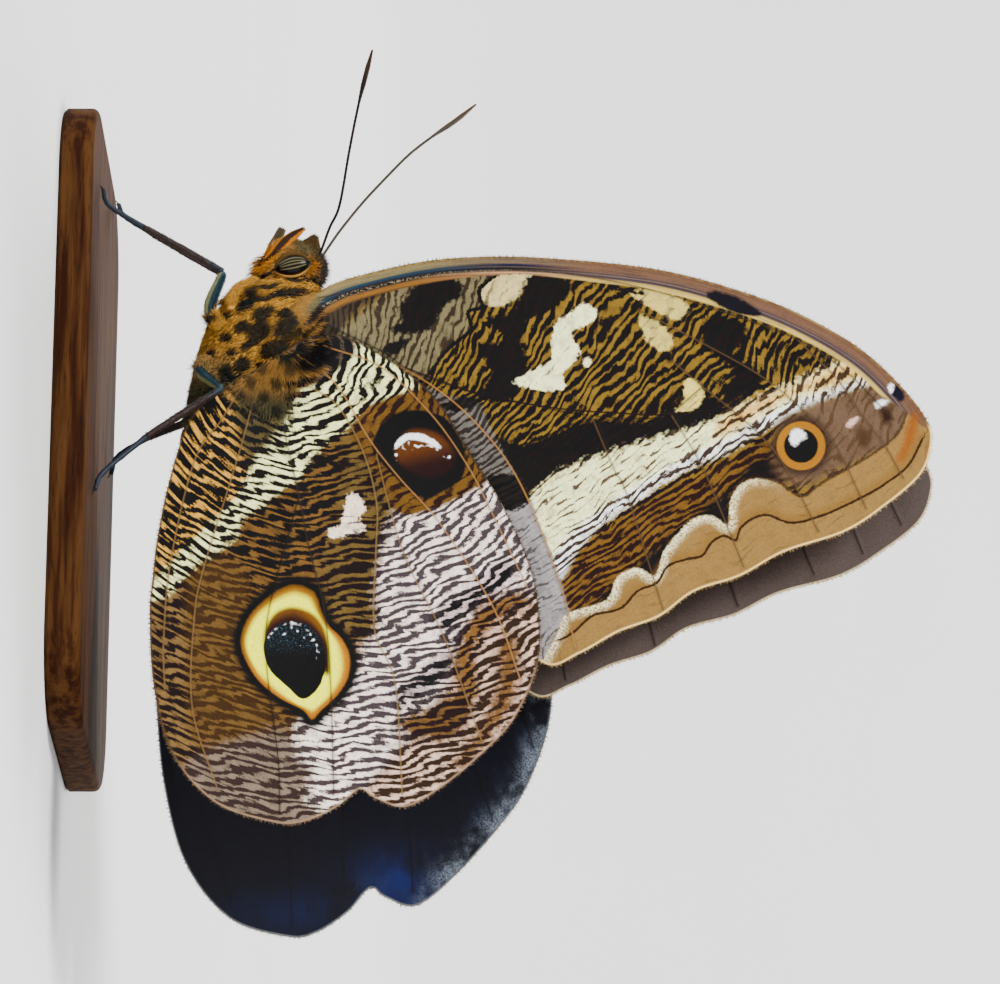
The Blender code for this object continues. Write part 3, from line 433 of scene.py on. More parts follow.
# Places in the picture where colours turn into others, in pixels
OVAL_MIDDLE = 425
OVAL_SHADE = (436, 474)
RING_SHEEN_END = 652
RIM_PALER = (640, 720)
RIM_BROWNER = 200
MARGIN_FROST_END = 790
HINDWING_HAIR_END = 300
ROOT_HAIR_FADE = {"forewing": (318, 350), "hindwing": (372, 405)}
BREAST_PALER = (335, 375)
BREAST_PALER_END = 265
BREAST_GREYER = (368, 388)
CROWN_TURN = (282, 300)
CROWN_LEVEL = 250
CROWN_END = 262
CROWN_TIP = (313, 320)

# Body, from rings across its length: (place along X, height of the middle, half width, half height)
BODY_RINGS = [
    (-23.5, 14.3, 0.5, 0.5), (-22.6, 14.4, 1.5, 1.4), (-20.0, 14.7, 2.2, 2.1), (-16.0, 15.1, 2.7, 2.6),
    (-12.0, 15.5, 2.9, 2.9), (-8.0, 15.9, 3.0, 3.1), (-4.0, 16.4, 3.0, 3.3), (0.0, 17.0, 3.0, 3.6),
    (3.2, 17.8, 3.0, 4.0), (5.6, 18.9, 3.2, 4.4), (7.0, 19.7, 3.8, 5.1), (9.5, 20.9, 4.5, 5.8),
    (12.0, 22.0, 5.0, 6.4), (14.5, 22.9, 5.2, 6.6), (16.6, 23.7, 4.9, 6.4), (18.4, 24.6, 4.3, 5.7),
    (19.8, 25.2, 3.4, 4.7), (20.8, 25.8, 2.5, 3.4), (21.7, 26.1, 2.7, 3.5), (22.8, 26.3, 2.9, 3.7),
    (24.1, 26.3, 2.7, 3.4), (25.2, 26.0, 2.1, 2.7), (26.0, 25.7, 1.3, 1.8), (26.4, 25.5, 0.5, 0.8),
]
SKIN_SIDES = 72
RING_STEP = 0.22
SEGMENT_LENGTH = 3.4
SEGMENT_DEPTH = 0.12
SHOULDER = {"centre": (12.8, 3.9, 25.2), "radii": (3.9, 1.8, 2.8)}

# Eyes
EYE_CENTRE = (22.25, 2.5, 26.4)
EYE_HALF_WIDTH = 1.4
EYE_HALF_LENGTH = 2.2
EYE_BULGE = 1.4
EYE_BAND = 0.3
EYE_TILT = math.radians(13)
# Lids: name, side of the eye, thickness, and colours in front and behind
LIDS = [
    ("lower", -1.0, 0.11, (182, 146, 88), (132, 96, 50)),
    ("upper", 1.0, 0.3, (104, 72, 34), (84, 58, 30)),
]

# Palps, antennae and the coiled tongue
PALP_LEFT = [
    (23.5, 1.6, 23.2), (24.4, 2.3, 24.35), (25.3, 2.3, 25.2), (26.3, 2.0, 26.1), (27.6, 1.5, 27.55),
]
PALP_RIGHT = [
    (24.0, 1.8, 23.4), (25.4, 2.0, 23.4), (26.7, 2.0, 23.75), (27.9, 1.9, 24.35), (28.95, 1.8, 24.85),
]
# Left and right palp: path, radii along it, colour of the edges and colour of the face
PALPS = [
    (PALP_LEFT, (0.42, 0.62, 0.68, 0.52, 0.16), (206, 150, 74), (70, 50, 38)),
    (PALP_RIGHT, (0.42, 0.56, 0.58, 0.52, 0.42), (140, 116, 76), (108, 94, 70)),
]
ANTENNA_LEFT = [
    (23.6, 1.1, 28.4), (24.2, 1.4, 29.4), (27.1, 3.0, 30.7), (29.4, 4.5, 31.9), (34.9, 8.0, 33.1),
    (39.4, 11.0, 34.2), (42.4, 13.0, 35.1), (44.7, 15.0, 35.9),
]
ANTENNA_RIGHT = [
    (23.9, 1.1, 28.4), (25.0, 1.4, 29.5), (29.2, 3.0, 31.7), (33.8, 5.0, 34.4), (37.9, 7.0, 37.1),
    (41.8, 9.0, 39.8), (45.1, 11.0, 42.6), (48.1, 13.0, 45.4), (51.2, 15.0, 47.9),
]
ANTENNA_RADIUS = 0.19
ANTENNA_CLUB = 0.34
FEELER_RING = 0.5
FEELER_STEP = 0.16
COIL_CENTRE = (25.4, 24.0)
COIL_RADII = (0.6, 1.1)
COIL_TURNS = 0.9
COIL_THICKNESS = 0.17

# Base
BASE_HEIGHT = 4.0
BASE_LENGTH = 76.0
BASE_WIDTH = 42.0
BASE_CORNER = 10.0
BASE_BEVEL = 0.8
FLOOR = BASE_HEIGHT + 0.3

# Legs: hip, bend of the thigh, knee, ankle, heel and toe of each leg
TOE = FLOOR + 0.3
LEGS = {
    "midleg_left": [
        (13.6, 3.6, 18.4), (15.8, 5.4, 16.7), (19.6, 7.5, 18.4), (23.8, 11.0, 9.2), (25.9, 12.4, 5.3),
        (27.6, 13.4, TOE),
    ],
    "hindleg_left": [
        (10.4, 3.2, 16.9), (8.0, 5.2, 15.8), (4.7, 8.0, 18.5), (-2.3, 10.5, 10.0), (-7.2, 12.3, 5.5),
        (-9.6, 13.1, TOE),
    ],
    "midleg_right": [
        (13.6, -3.6, 18.4), (19.0, -4.7, 16.4), (24.6, -5.5, 17.7), (31.0, -8.0, 8.8), (33.6, -8.8, 5.4),
        (35.4, -9.4, TOE),
    ],
    "hindleg_right": [
        (10.4, -3.2, 16.9), (9.6, -4.6, 15.4), (7.8, -6.2, 17.9), (4.4, -7.6, 8.9), (2.4, -8.4, 5.4),
        (0.4, -9.2, TOE),
    ],
}
LIMB_SIDES = 16
FEMUR_RADII = (0.5, 0.58, 0.42)
FEMUR_TONES = ((40, 70, 80), (172, 170, 138))
HIP_SHARE = 0.42
TIBIA_RADII = (0.4, 0.44, 0.36)
TIBIA_TONES = ((64, 48, 46), (96, 78, 70))
TIBIA_COAT_TONES = ((72, 54, 52), (112, 92, 84))
TARSUS_RADII = (0.34, 0.3, 0.27)
TARSUS_TONES = ((44, 54, 68), (84, 88, 94))
TARSUS_KNOBS = (0.0, 0.38, 0.56, 0.72, 0.86)
FORELEG = [(16.0, 4.2, 19.2), (17.9, 4.0, 19.4), (19.5, 3.3, 20.5), (20.6, 2.4, 22.2)]
FORELEG_RADII = (0.48, 0.55, 0.32)

# Hair: how many tufts each part has, and the tip that the brow's tuft points to
TUFTS = {
    "thorax": 14000, "head": 12000, "abdomen": 12000, "beard": 5200, "brow": 1500, "crown": 1300,
    "wing": 5000, "palp": 2600, "femur": 900, "hip": 1200, "tibia": 1000, "foreleg": 1500,
}
BROW_TIP = (27.2, 0.5, 28.95)
# Fringe of the wings: rows, then two colours along most of the margin and one along the leading edge
FRINGE_ROWS = 3
FRINGE = {
    "forewing": ((206, 190, 160), (150, 110, 62), (124, 86, 42)),
    "hindwing": ((176, 150, 120), (92, 66, 46), (60, 46, 36)),
}
# How far the hair reaches out from the wings' roots
ROOT_HAIR = {"forewing": 4.5, "hindwing": 10.0}
# Dark spots of the coat: middle, half length, half width in pixels, and turn in degrees
BODY_SPOTS = [
    (268, 311, 13, 7, -20), (247, 324, 9, 6, -40), (264, 328, 14, 10, -25), (231, 334, 8, 5, -20),
    (309, 328, 10, 6, 5), (278, 346, 16, 9, -15), (296, 292, 18, 5, 0), (250, 304, 11, 6, -25),
    (247, 362, 10, 8, -35), (230, 369, 7, 10, 10), (240, 377, 13, 5, 10), (279, 362, 8, 8, 0),
    (262, 379, 19, 8, -8), (249, 345, 4, 4, 0), (289, 324, 15, 8, -48), (256, 341, 8, 4, -15),
    (236, 350, 7, 4, -20), (263, 363, 5, 4, 0), (230, 314, 6, 4, -30), (288, 312, 9, 4, -20),
    (216, 350, 6, 4, 0), (212, 322, 5, 4, -20), (272, 296, 14, 3, -15), (302, 345, 9, 6, -30),
    (222, 388, 10, 5, 10), (280, 382, 12, 6, 0), (296, 366, 7, 5, 0), (261, 283, 17, 2.4, -26),
    (303, 281, 14, 2.6, 6), (254, 299, 13, 3.4, -30), (278, 286, 10, 2.6, -20), (248, 291, 6, 2.2, -30),
    (266, 276, 14, 2.2, -30), (262, 290, 12, 2.4, -28),
]
SPOT_TONE = (34, 44, 46)
CHEEK = (268, 261, 13, 7.5, -52)
CHEEK_LINE = (273, 256, 7, 2.4, -54)
ANTENNA_SPOT = (313, 269, 5, 5, 0)
# Marks on the shoulder where the wings' lines run on over the body, each with its colour
SHOULDER_MARKS = [
    ((330, 330, 20, 8, -22), (44, 32, 26)),
    ((322, 300, 30, 4.5, -31), (150, 138, 104)),
    ((318, 309, 26, 3.4, -33), (40, 62, 72)),
    ((322, 316, 26, 2.6, -33), (46, 38, 40)),
    ((316, 354, 26, 11, -24), (30, 24, 24)),
    ((309, 315, 10, 4, -34), (60, 50, 50)),
    ((296, 333, 12, 4, -34), (66, 56, 36)),
    ((290, 352, 12, 5, -30), (52, 56, 46)),
    ((300, 378, 20, 3.2, -10), (38, 34, 32)),
]

random = np.random.default_rng(SEED)


# Curves, distances and the picture's frame

def smooth_path(points, step):
    """A smooth curve through the points, read about every step, with both ends kept."""
    known = np.array(points, float)
    known = np.vstack([2 * known[0] - known[1], known, 2 * known[-1] - known[-2]])
    return spline(known, step)


def smooth_loop(points, step):
    """The same, through the points and round to the first one again."""
    known = np.array(points, float)
    return spline(np.vstack([known[-1], known, known[0], known[1]]), step)


def spline(known, step):
    """A curve through all known points but the first and last, which only steer it."""
    out = []
    for i in range(1, len(known) - 2):
        a, b, c, d = known[i - 1:i + 3]
        pieces = max(1, round(np.linalg.norm(c - b) / step))
        for t in np.arange(pieces) / pieces:
            out.append(0.5 * (2 * b + (c - a) * t + (2 * a - 5 * b + 4 * c - d) * t ** 2
                              + (3 * b - a - 3 * c + d) * t ** 3))
    out.append(known[-2])
    return np.array(out)


def distance(points, path):
    """Shortest distance from each flat point to a path."""
    best = np.full(len(points), 1e9)
    for a, b in zip(path[:-1], path[1:]):
        span = b - a
        t = np.clip((points - a) @ span / max(span @ span, 1e-12), 0, 1)
        best = np.minimum(best, np.hypot(*(points - a - t[:, None] * span).T))
    return best


def signed(points, path):
    """Distance to a path, above 0 on its left and below 0 on its right as it runs."""
    best = np.full(len(points), 1e9)
    for a, b in zip(path[:-1], path[1:]):
        span = b - a
        offset = points - a
        t = np.clip(offset @ span / max(span @ span, 1e-12), 0, 1)
        far = np.hypot(*(offset - t[:, None] * span).T)
        reach = np.where(span[0] * offset[:, 1] - span[1] * offset[:, 0] > 0, far, -far)
        best = np.where(far < np.abs(best), reach, best)
    return best


def inside(points, loop):
    """Whether each flat point lies inside a closed path."""
    odd = np.zeros(len(points), bool)
    x, z = points.T
    for (xa, za), (xb, zb) in zip(loop[:-1], loop[1:]):
        if za != zb:
            odd ^= ((za > z) != (zb > z)) & (x < xa + (z - za) * (xb - xa) / (zb - za))
    return odd


def depth(points, loop):
    """Distance to a closed path, above 0 inside it and below 0 outside."""
    far = distance(points, loop)
    return np.where(inside(points, loop), far, -far)


def step_up(value, low, high):
    """A smooth step from 0 at the low value to 1 at the high one."""
    t = np.clip((value - low) / (high - low), 0, 1)
    return t * t * (3 - 2 * t)


def turned(share, first, second):
    """The first colour turned into the second by a share, point by point."""
    return (1 - share) * first + share * second


def unit(vectors):
    """Vectors at length 1."""
    return vectors / np.maximum(np.linalg.norm(vectors, axis=1), 1e-9)[:, None]


def camera_axes():
    """The camera's right, up and back directions. Its frame lies on its side, as in the picture."""
    back = np.array((-math.sin(CAMERA_BACK), math.cos(CAMERA_BACK), 0.0))
    up = np.array((math.cos(CAMERA_BACK), math.sin(CAMERA_BACK), 0.0))
    return np.array((0.0, 0.0, 1.0)), up, back


def frame_place(points):
    """Where points in millimetres fall in the picture's frame, in pixels."""
    right, up, back = camera_axes()
    q = np.asarray(points, float) - (np.array(CAMERA_TARGET) + CAMERA_DISTANCE * back)
    scale = CAMERA_DISTANCE / -(q @ back) / PIXEL
    return np.stack([FRAME_SIZE[0] / 2 + (q @ right) * scale, FRAME_SIZE[1] / 2 - (q @ up) * scale], axis=1)


# Materials

def glow(values):
    """Screen values from 0 to 255 as shares of the screen's full light."""
    screen = np.asarray(values, float) / 255
    return np.where(screen <= 0.04045, screen / 12.92, ((screen + 0.055) / 1.055) ** 2.4)


def colour(values):
    """The share of light that a surface gives back, for the screen values it should show."""
    light = np.interp(glow(values) @ np.array(LOOK_SCREEN).T, glow(SCREEN_VALUES), SCREEN_LIGHT)
    light = light @ np.array(LOOK_LIGHT).T
    return np.clip((light - HAZE) / LIGHT_LEVEL, 0.0015, 0.9)


class Paint:
    """Builds one node material. Each method adds nodes and returns the socket that holds the result."""

    def __init__(self, name, roughness, gloss=None):
        self.material = bpy.data.materials.new(name)
        self.material.use_nodes = True
        self.tree = self.material.node_tree
        self.shader = self.tree.nodes["Principled BSDF"]
        self.shader.inputs["Roughness"].default_value = roughness
        if gloss is not None:
            self.shader.inputs["Specular IOR Level"].default_value = gloss

    def feed(self, socket, value):
        if isinstance(value, bpy.types.NodeSocket):
            self.tree.links.new(value, socket)
        elif isinstance(value, (tuple, list, np.ndarray)):
            socket.default_value = (*value, 1.0) if len(socket.default_value) == 4 else tuple(value)
        else:
            socket.default_value = value

    def node(self, kind, inputs, output=0, **settings):
        made = self.tree.nodes.new(kind)
        for word, value in settings.items():
            setattr(made, word, value)
        for key, value in inputs.items():
            self.feed(made.inputs[key], value)
        return made.outputs[output]

    def value(self, name):
        return self.node("ShaderNodeAttribute", {}, "Fac", attribute_name=name)

    def tint(self, name):
        return self.node("ShaderNodeAttribute", {}, "Color", attribute_name=name)

    def place(self):
        """The point of the surface in millimetres."""
        point = self.node("ShaderNodeTexCoord", {}, "Object")
        return self.node("ShaderNodeVectorMath", {0: point, "Scale": 1 / MM}, 0, operation="SCALE")

    def math(self, operation, *values):
        return self.node("ShaderNodeMath", dict(enumerate(values)), 0, operation=operation)

    def times(self, a, b):
        return self.math("MULTIPLY", a, b)

    def plus(self, a, b):
        return self.math("ADD", a, b)

    def minus(self, a, b):
        return self.math("SUBTRACT", a, b)

    def mix(self, share, a, b, blend="MIX"):
        return self.node("ShaderNodeMix", {0: share, 6: a, 7: b}, 2, data_type="RGBA", blend_type=blend)

    def blend(self, share, a, b):
        return self.node("ShaderNodeMix", {0: share, 2: a, 3: b}, 0, data_type="FLOAT")

    def ease(self, value, low, high):
        inputs = {0: value, 1: low, 2: high}
        return self.node("ShaderNodeMapRange", inputs, 0, interpolation_type="SMOOTHSTEP")

    def noise(self, vector, scale, detail=2.0, roughness=0.5):
        inputs = {"Vector": vector, "Scale": scale, "Detail": detail, "Roughness": roughness}
        return self.node("ShaderNodeTexNoise", inputs, 0)

    def point(self, x, y, z=0.0):
        return self.node("ShaderNodeCombineXYZ", {0: x, 1: y, 2: z}, 0)

    def ramp(self, value, stops):
        made = self.tree.nodes.new("ShaderNodeValToRGB")
        self.feed(made.inputs[0], value)
        points = made.color_ramp.elements
        while len(points) < len(stops):
            points.new(0.5)
        for element, (place, tone) in zip(points, stops):
            element.position = place
            element.color = (*tone, 1.0)
        return made.outputs[0]

    def mottle(self, tone, grain, darker, lighter):
        """The tone made darker and lighter with the grain."""
        factor = self.node("ShaderNodeMapRange", {0: grain, 1: 0.25, 2: 0.75, 3: 1 - darker, 4: 1 + lighter})
        grey = self.node("ShaderNodeCombineColor", {0: factor, 1: factor, 2: factor})
        return self.mix(1.0, tone, grey, "MULTIPLY")

    def ragged(self, vector, scale, detail, amount, roughness=0.5):
        """Noise about 0, for an edge that isn't smooth."""
        return self.times(self.minus(self.noise(vector, scale, detail, roughness), 0.5), amount)

    def bump(self, height, distance_mm, strength):
        inputs = {"Height": height, "Distance": distance_mm * MM, "Strength": strength}
        normal = self.node("ShaderNodeBump", inputs)
        self.tree.links.new(normal, self.shader.inputs["Normal"])

    def finish(self, base):
        self.feed(self.shader.inputs["Base Color"], base)
        return self.material


def scaled(paint, tone, place, amount=0.22):
    """Ends a wing's finish: the fine dusting of single scales over its colours, and their relief."""
    fine = paint.noise(place, 5.5, 1.0)
    tone = paint.mottle(tone, fine, amount, 0.6 * amount)
    paint.bump(fine, WING_GRAIN, 0.5)
    return paint.finish(tone)


def lay_fields(paint, fields, place, light, dark, share):
    """Lays each field's colours over those before it, with a ragged edge."""
    uneven = paint.ragged(place, 1.9, 3.0, 2.2, 0.6)
    for name, field_light, field_dark, field_share, soft, rough, _ in fields:
        edge = paint.math("MULTIPLY_ADD", uneven, rough, paint.value(name))
        cover = paint.ease(edge, -soft, soft)
        light = paint.mix(cover, light, colour(field_light))
        dark = paint.mix(cover, dark, colour(field_dark))
        share = paint.blend(cover, share, field_share)
    return light, dark, share


def rippled(paint, light, dark, share, place):
    """Broken dark ripples that cross the wing between its veins, with a grainy edge of single scales."""
    along = paint.value("ripple")
    across = paint.value("across")

    def drawn_out(pace, spread, detail):
        return paint.noise(paint.point(paint.times(along, pace), paint.times(across, spread)), 1.0, detail)

    shifted = paint.plus(along, paint.times(drawn_out(0.3, 0.2, 3.0), RIPPLE_DRIFT))
    shifted = paint.plus(shifted, paint.times(drawn_out(0.35, 0.8, 1.0), RIPPLE_JAG))
    wave = paint.math("SINE", paint.times(shifted, 2 * math.pi))
    height = paint.plus(paint.times(wave, 0.27), paint.times(drawn_out(1.1, 0.34, 2.0), 1.3))
    height = paint.plus(height, paint.times(paint.noise(place, 6.0, 1.5), 0.62))
    gap = paint.minus(paint.minus(height, 0.46), share)
    cloud = paint.ease(paint.noise(place, 0.75, 3.0, 0.6), 0.42, 0.72)
    light = paint.mix(paint.times(cloud, 0.42), light, dark)
    return paint.mix(paint.ease(gap, 0.13, -0.13), light, dark)


def lay_mark(paint, tone, name, mark, soft, rough=0.0):
    """Lays one colour over the rest where the named depth is above 0."""
    return paint.mix(paint.ease(paint.plus(paint.value(name), rough), -soft, soft), tone, mark)


def lay_line(paint, tone, name, mark, half, rough):
    """Lays a thin line where the named signed distance is near 0."""
    reach = paint.math("ABSOLUTE", paint.plus(paint.value(name), rough))
    return paint.mix(paint.ease(reach, half + 0.7, half - 0.7), tone, mark)


def lay_rim(paint, tone, low):
    """The wing's last rim in its own colour."""
    edge = paint.ease(paint.value("rim"), 0.3, low)
    return paint.mix(paint.times(edge, 0.8), tone, paint.tint("rim_tint"))


def lay_veins(paint, tone, width=0.09):
    """Thin veins in their own colours, with a faint shade beside them."""
    reach = paint.value("vein")
    cover = paint.ease(reach, width + 0.07, width - 0.07)
    tone = paint.mix(paint.ease(reach, 0.4, 0.12), tone, paint.mix(0.2, tone, colour(BLACK)))
    return paint.mix(paint.times(cover, 0.7), tone, paint.tint("vein_tint"))


def lay_oval(paint, tone, uneven):
    """The small brown eyespot: a black bed, a heart that darkens downward, and a white glint."""
    tone = lay_mark(paint, tone, "oval_rim", colour((10, 6, 6)), 1.6, uneven)
    low = paint.ease(paint.value("oval_low"), 0.0, 1.0)
    heart = paint.mix(low, colour((118, 62, 10)), colour((46, 24, 4)))
    tone = lay_mark(paint, tone, "oval_heart", heart, 4.0)
    return lay_mark(paint, tone, "oval_glint", colour((252, 250, 250)), 1.0, uneven)


def lay_ring(paint, tone, place, uneven):
    """The large eyespot: bands from its black halo in to its dark pupil, with a brown crescent on it."""
    ring = paint.value("ring")
    tone = paint.mix(paint.ease(ring, -1.15, -0.35), tone, colour((14, 9, 8)))
    stops = [(at, colour(held)) for at, held in RING_STOPS]
    bands = paint.ramp(paint.math("DIVIDE", paint.plus(ring, 1.0), 3.0), stops)
    amber = paint.ease(paint.plus(paint.value("ring_amber"), paint.times(ring, -12.0)), -8.0, 6.0)
    inner = paint.ease(ring, 0.02, 0.12)
    bands = paint.mix(paint.times(paint.times(amber, inner), 0.85), bands, colour((196, 134, 34)))
    crescent = paint.mix(paint.ease(ring, 0.55, 0.95), colour((146, 92, 26)), colour((56, 30, 10)))
    bands = lay_mark(paint, bands, "ring_crescent", crescent, 3.0)
    pupil = paint.ease(paint.plus(ring, paint.times(uneven, 0.015)), 0.985, 1.03)
    sheen = paint.ease(paint.value("ring_sheen"), -6.0, 14.0)
    speck = paint.ease(paint.noise(place, 4.5, 2.0, 0.7), 0.5, 0.72)
    heart = paint.mix(paint.times(sheen, speck), colour((10, 8, 12)), colour((70, 112, 130)))
    return paint.mix(paint.ease(ring, -0.06, 0.02), tone, paint.mix(pupil, bands, heart))


def hindwing_paint():
    """The hindwing's under side: its fields and ripples, the two eyespots with their dots, and its veins."""
    paint = Paint("hindwing_scales", 0.62, 0.08)
    place = paint.place()
    start = colour(HINDWING_LIGHT), colour(BROWN), 0.55
    tone = rippled(paint, *lay_fields(paint, HINDWING_FIELDS, place, *start), place)
    uneven = paint.ragged(place, 3.5, 2.0, 3.0)
    tone = lay_oval(paint, tone, uneven)
    tone = lay_ring(paint, tone, place, uneven)
    tone = lay_mark(paint, tone, "dots", colour((250, 250, 252)), 0.7)
    tone = lay_veins(paint, tone)
    tone = lay_rim(paint, tone, 0.1)
    return scaled(paint, tone, place)


def lay_costa(paint, tone):
    """The fine lines along the forewing's leading edge, which change from the root to the tip."""
    costa, along = paint.value("costa"), paint.value("costa_along")
    reach = paint.math("DIVIDE", costa, COSTA_REACH)
    strip = None
    for start, stops in COSTA_LINES:
        lines = paint.ramp(reach, [(at / COSTA_REACH, colour(held)) for at, held in stops])
        strip = lines if strip is None else paint.mix(paint.ease(along, *start), strip, lines)
    row = paint.times(paint.ease(costa, 14.0, 15.0), paint.ease(costa, 18.0, 17.0))
    near = paint.times(paint.ease(along, *COSTA_ROW_END), 0.6)
    speck = paint.ease(paint.noise(paint.place(), 5.0, 1.0), 0.52, 0.6)
    strip = paint.mix(paint.times(paint.times(row, speck), near), strip, colour((190, 180, 160)))
    streaks = paint.point(paint.times(costa, 0.75), paint.times(along, 0.02))
    streaks = paint.ease(paint.noise(streaks, 1.0, 2.0, 0.6), 0.48, 0.68)
    strip = paint.mix(paint.times(streaks, 0.5), strip, colour((70, 54, 56)))
    return paint.mix(paint.ease(paint.minus(costa, paint.value("costa_end")), 1.2, -1.2), tone, strip)


def lay_margin(paint, tone, place, uneven):
    """The forewing's pale margin: a shade and a dark line, and frost or a dark verge on its inner edge."""
    line = paint.value("margin_line")
    shade = paint.times(paint.ease(line, -13.0, -2.0), paint.ease(line, 0.5, -0.5))
    tone = paint.mix(paint.times(shade, 0.6), tone, colour((160, 116, 50)))
    border = paint.plus(paint.value("buff"), paint.times(uneven, 0.8))
    frost = paint.times(paint.ease(border, -1.5, 1.0), paint.ease(border, 11.0, 1.0))
    crystals = paint.ease(paint.noise(place, 5.0, 2.0, 0.7), 0.36, 0.6)
    frosted = paint.value("frosted")
    tone = paint.mix(paint.times(paint.times(frost, frosted), crystals), tone, colour((226, 216, 204)))
    verge = paint.ease(paint.math("ABSOLUTE", paint.plus(border, 1.0)), 2.2, 0.6)
    verge = paint.times(verge, paint.minus(1.0, frosted))
    tone = paint.mix(paint.times(verge, 0.8), tone, colour((84, 58, 36)))
    return lay_line(paint, tone, "margin_line", colour((64, 40, 22)), 1.3, paint.times(uneven, 0.5))


def lay_spot(paint, tone, uneven):
    """The forewing's eyespot: a dusky bed, an orange ring and a dark pupil with a glint."""
    spot = paint.value("spot")
    tone = paint.mix(paint.times(paint.ease(spot, -12.0, -1.0), 0.75), tone, colour((48, 32, 20)))
    tone = paint.mix(paint.ease(spot, -1.2, 0.6), tone, ORANGE)
    gap = SPOT_RING - SPOT_PUPIL
    pupil = paint.ease(paint.plus(spot, paint.times(uneven, 0.2)), gap - 1.2, gap + 0.6)
    tone = paint.mix(pupil, tone, colour((16, 12, 22)))
    return lay_mark(paint, tone, "spot_glint", colour((226, 228, 240)), 2.0, uneven)


def forewing_paint():
    """The forewing's under side: fields and ripples, lines, margin, eyespot, leading edge and veins."""
    paint = Paint("forewing_scales", 0.6, 0.08)
    place = paint.place()
    fields = colour(OCHRE), colour((30, 18, 13)), 0.57
    for group in (FOREWING_FIELDS, SILVER_FIELDS, [BUFF_FIELD]):
        fields = lay_fields(paint, group, place, *fields)
    tone = rippled(paint, *fields, place)
    uneven = paint.ragged(place, 3.0, 2.0, 4.0)
    tone = lay_line(paint, tone, "cell_line", colour(BLACK), 2.0, uneven)
    tone = lay_line(paint, tone, "fold_line", colour((40, 28, 24)), 0.8, paint.times(uneven, 0.2))
    tone = lay_margin(paint, tone, place, uneven)
    tone = lay_spot(paint, tone, uneven)
    tone = lay_costa(paint, tone)
    for name, mark, soft, _ in APEX_MARKS:
        tone = lay_mark(paint, tone, name, colour(mark), soft, uneven)
    tone = lay_veins(paint, tone)
    tone = lay_rim(paint, tone, 0.12)
    return scaled(paint, tone, place, 0.18)


def upper_paint(name, near, far, patch, edge_tone):
    """The upper side of a wing: two tones from the root outward, a coloured patch, frost and a pale edge."""
    paint = Paint(name, 0.5, 0.12)
    place = paint.place()
    cloud = paint.noise(place, 0.16, 3.0)
    outward = paint.plus(paint.value("outward"), paint.times(cloud, 0.3))
    tone = paint.mix(paint.ease(outward, 0.35, 0.8), colour(near), colour(far))
    shine = paint.times(paint.value("patch"), paint.ease(cloud, 0.3, 0.6))
    tone = paint.mix(shine, tone, colour(patch))
    rays = paint.point(paint.times(paint.value("round"), 1.5), paint.times(paint.value("rim"), 0.12))
    frost = paint.ease(paint.plus(paint.value("frost"), paint.ragged(rays, 1.0, 2.0, 1.3)), 0.45, 1.25)
    frost = paint.times(frost, paint.ease(paint.noise(place, 4.6, 4.0, 0.7), 0.3, 0.66))
    frost = paint.times(frost, paint.ease(paint.noise(place, 0.3, 2.0, 0.5), 0.34, 0.58))
    tone = paint.mix(paint.times(frost, paint.value("frost_share")), tone, paint.tint("frost_tint"))
    tone = lay_veins(paint, tone, 0.12)
    tone = paint.mix(paint.ease(paint.value("rim"), 0.22, 0.1), tone, colour(edge_tone))
    return scaled(paint, tone, place, 0.25)


def tinted_paint(name, roughness, grain, scale, gloss=0.1):
    """A finish whose colour is kept on the mesh, with a fine mottle of its own."""
    paint = Paint(name, roughness, gloss)
    fine = paint.noise(paint.place(), scale, 3.0)
    paint.bump(fine, 0.03, 0.6)
    return paint.finish(paint.mottle(paint.tint("tint"), fine, grain, grain))


def wood_paint():
    """Dark oiled wood with its grain along the base."""
    paint = Paint("base_wood", 0.7, 0.03)
    place = paint.place()
    stretched = paint.node("ShaderNodeMapping", {"Vector": place, "Scale": (0.05, 0.9, 0.9)})
    rings = paint.noise(stretched, 1.0, 4.0, 0.6)
    fibres = paint.node("ShaderNodeMapping", {"Vector": place, "Scale": (0.35, 6.0, 6.0)})
    pores = paint.noise(fibres, 1.0, 2.0)
    tone = paint.mix(paint.ease(rings, 0.35, 0.65), colour((58, 34, 20)), colour((104, 66, 38)))
    tone = paint.mix(paint.times(paint.ease(pores, 0.58, 0.68), 0.6), tone, colour((30, 17, 10)))
    height = paint.minus(rings, paint.times(pores, 0.5))
    paint.bump(height, 0.08, 0.5)
    return paint.finish(tone)


def eye_paint():
    """A dark faceted eye with pale olive bands along it and a brown ring."""
    paint = Paint("eye_gloss", 0.3, 0.12)
    place = paint.place()
    facets = paint.node("ShaderNodeTexVoronoi", {"Vector": place, "Scale": 7.0}, "Distance")
    band = paint.ease(paint.value("band"), 0.45, 0.85)
    tone = paint.mix(band, colour((26, 15, 10)), colour((136, 124, 84)))
    tone = paint.mix(paint.value("ring"), tone, colour((92, 58, 24)))
    paint.bump(facets, 0.02, 0.5)
    return paint.finish(tone)


# Meshes

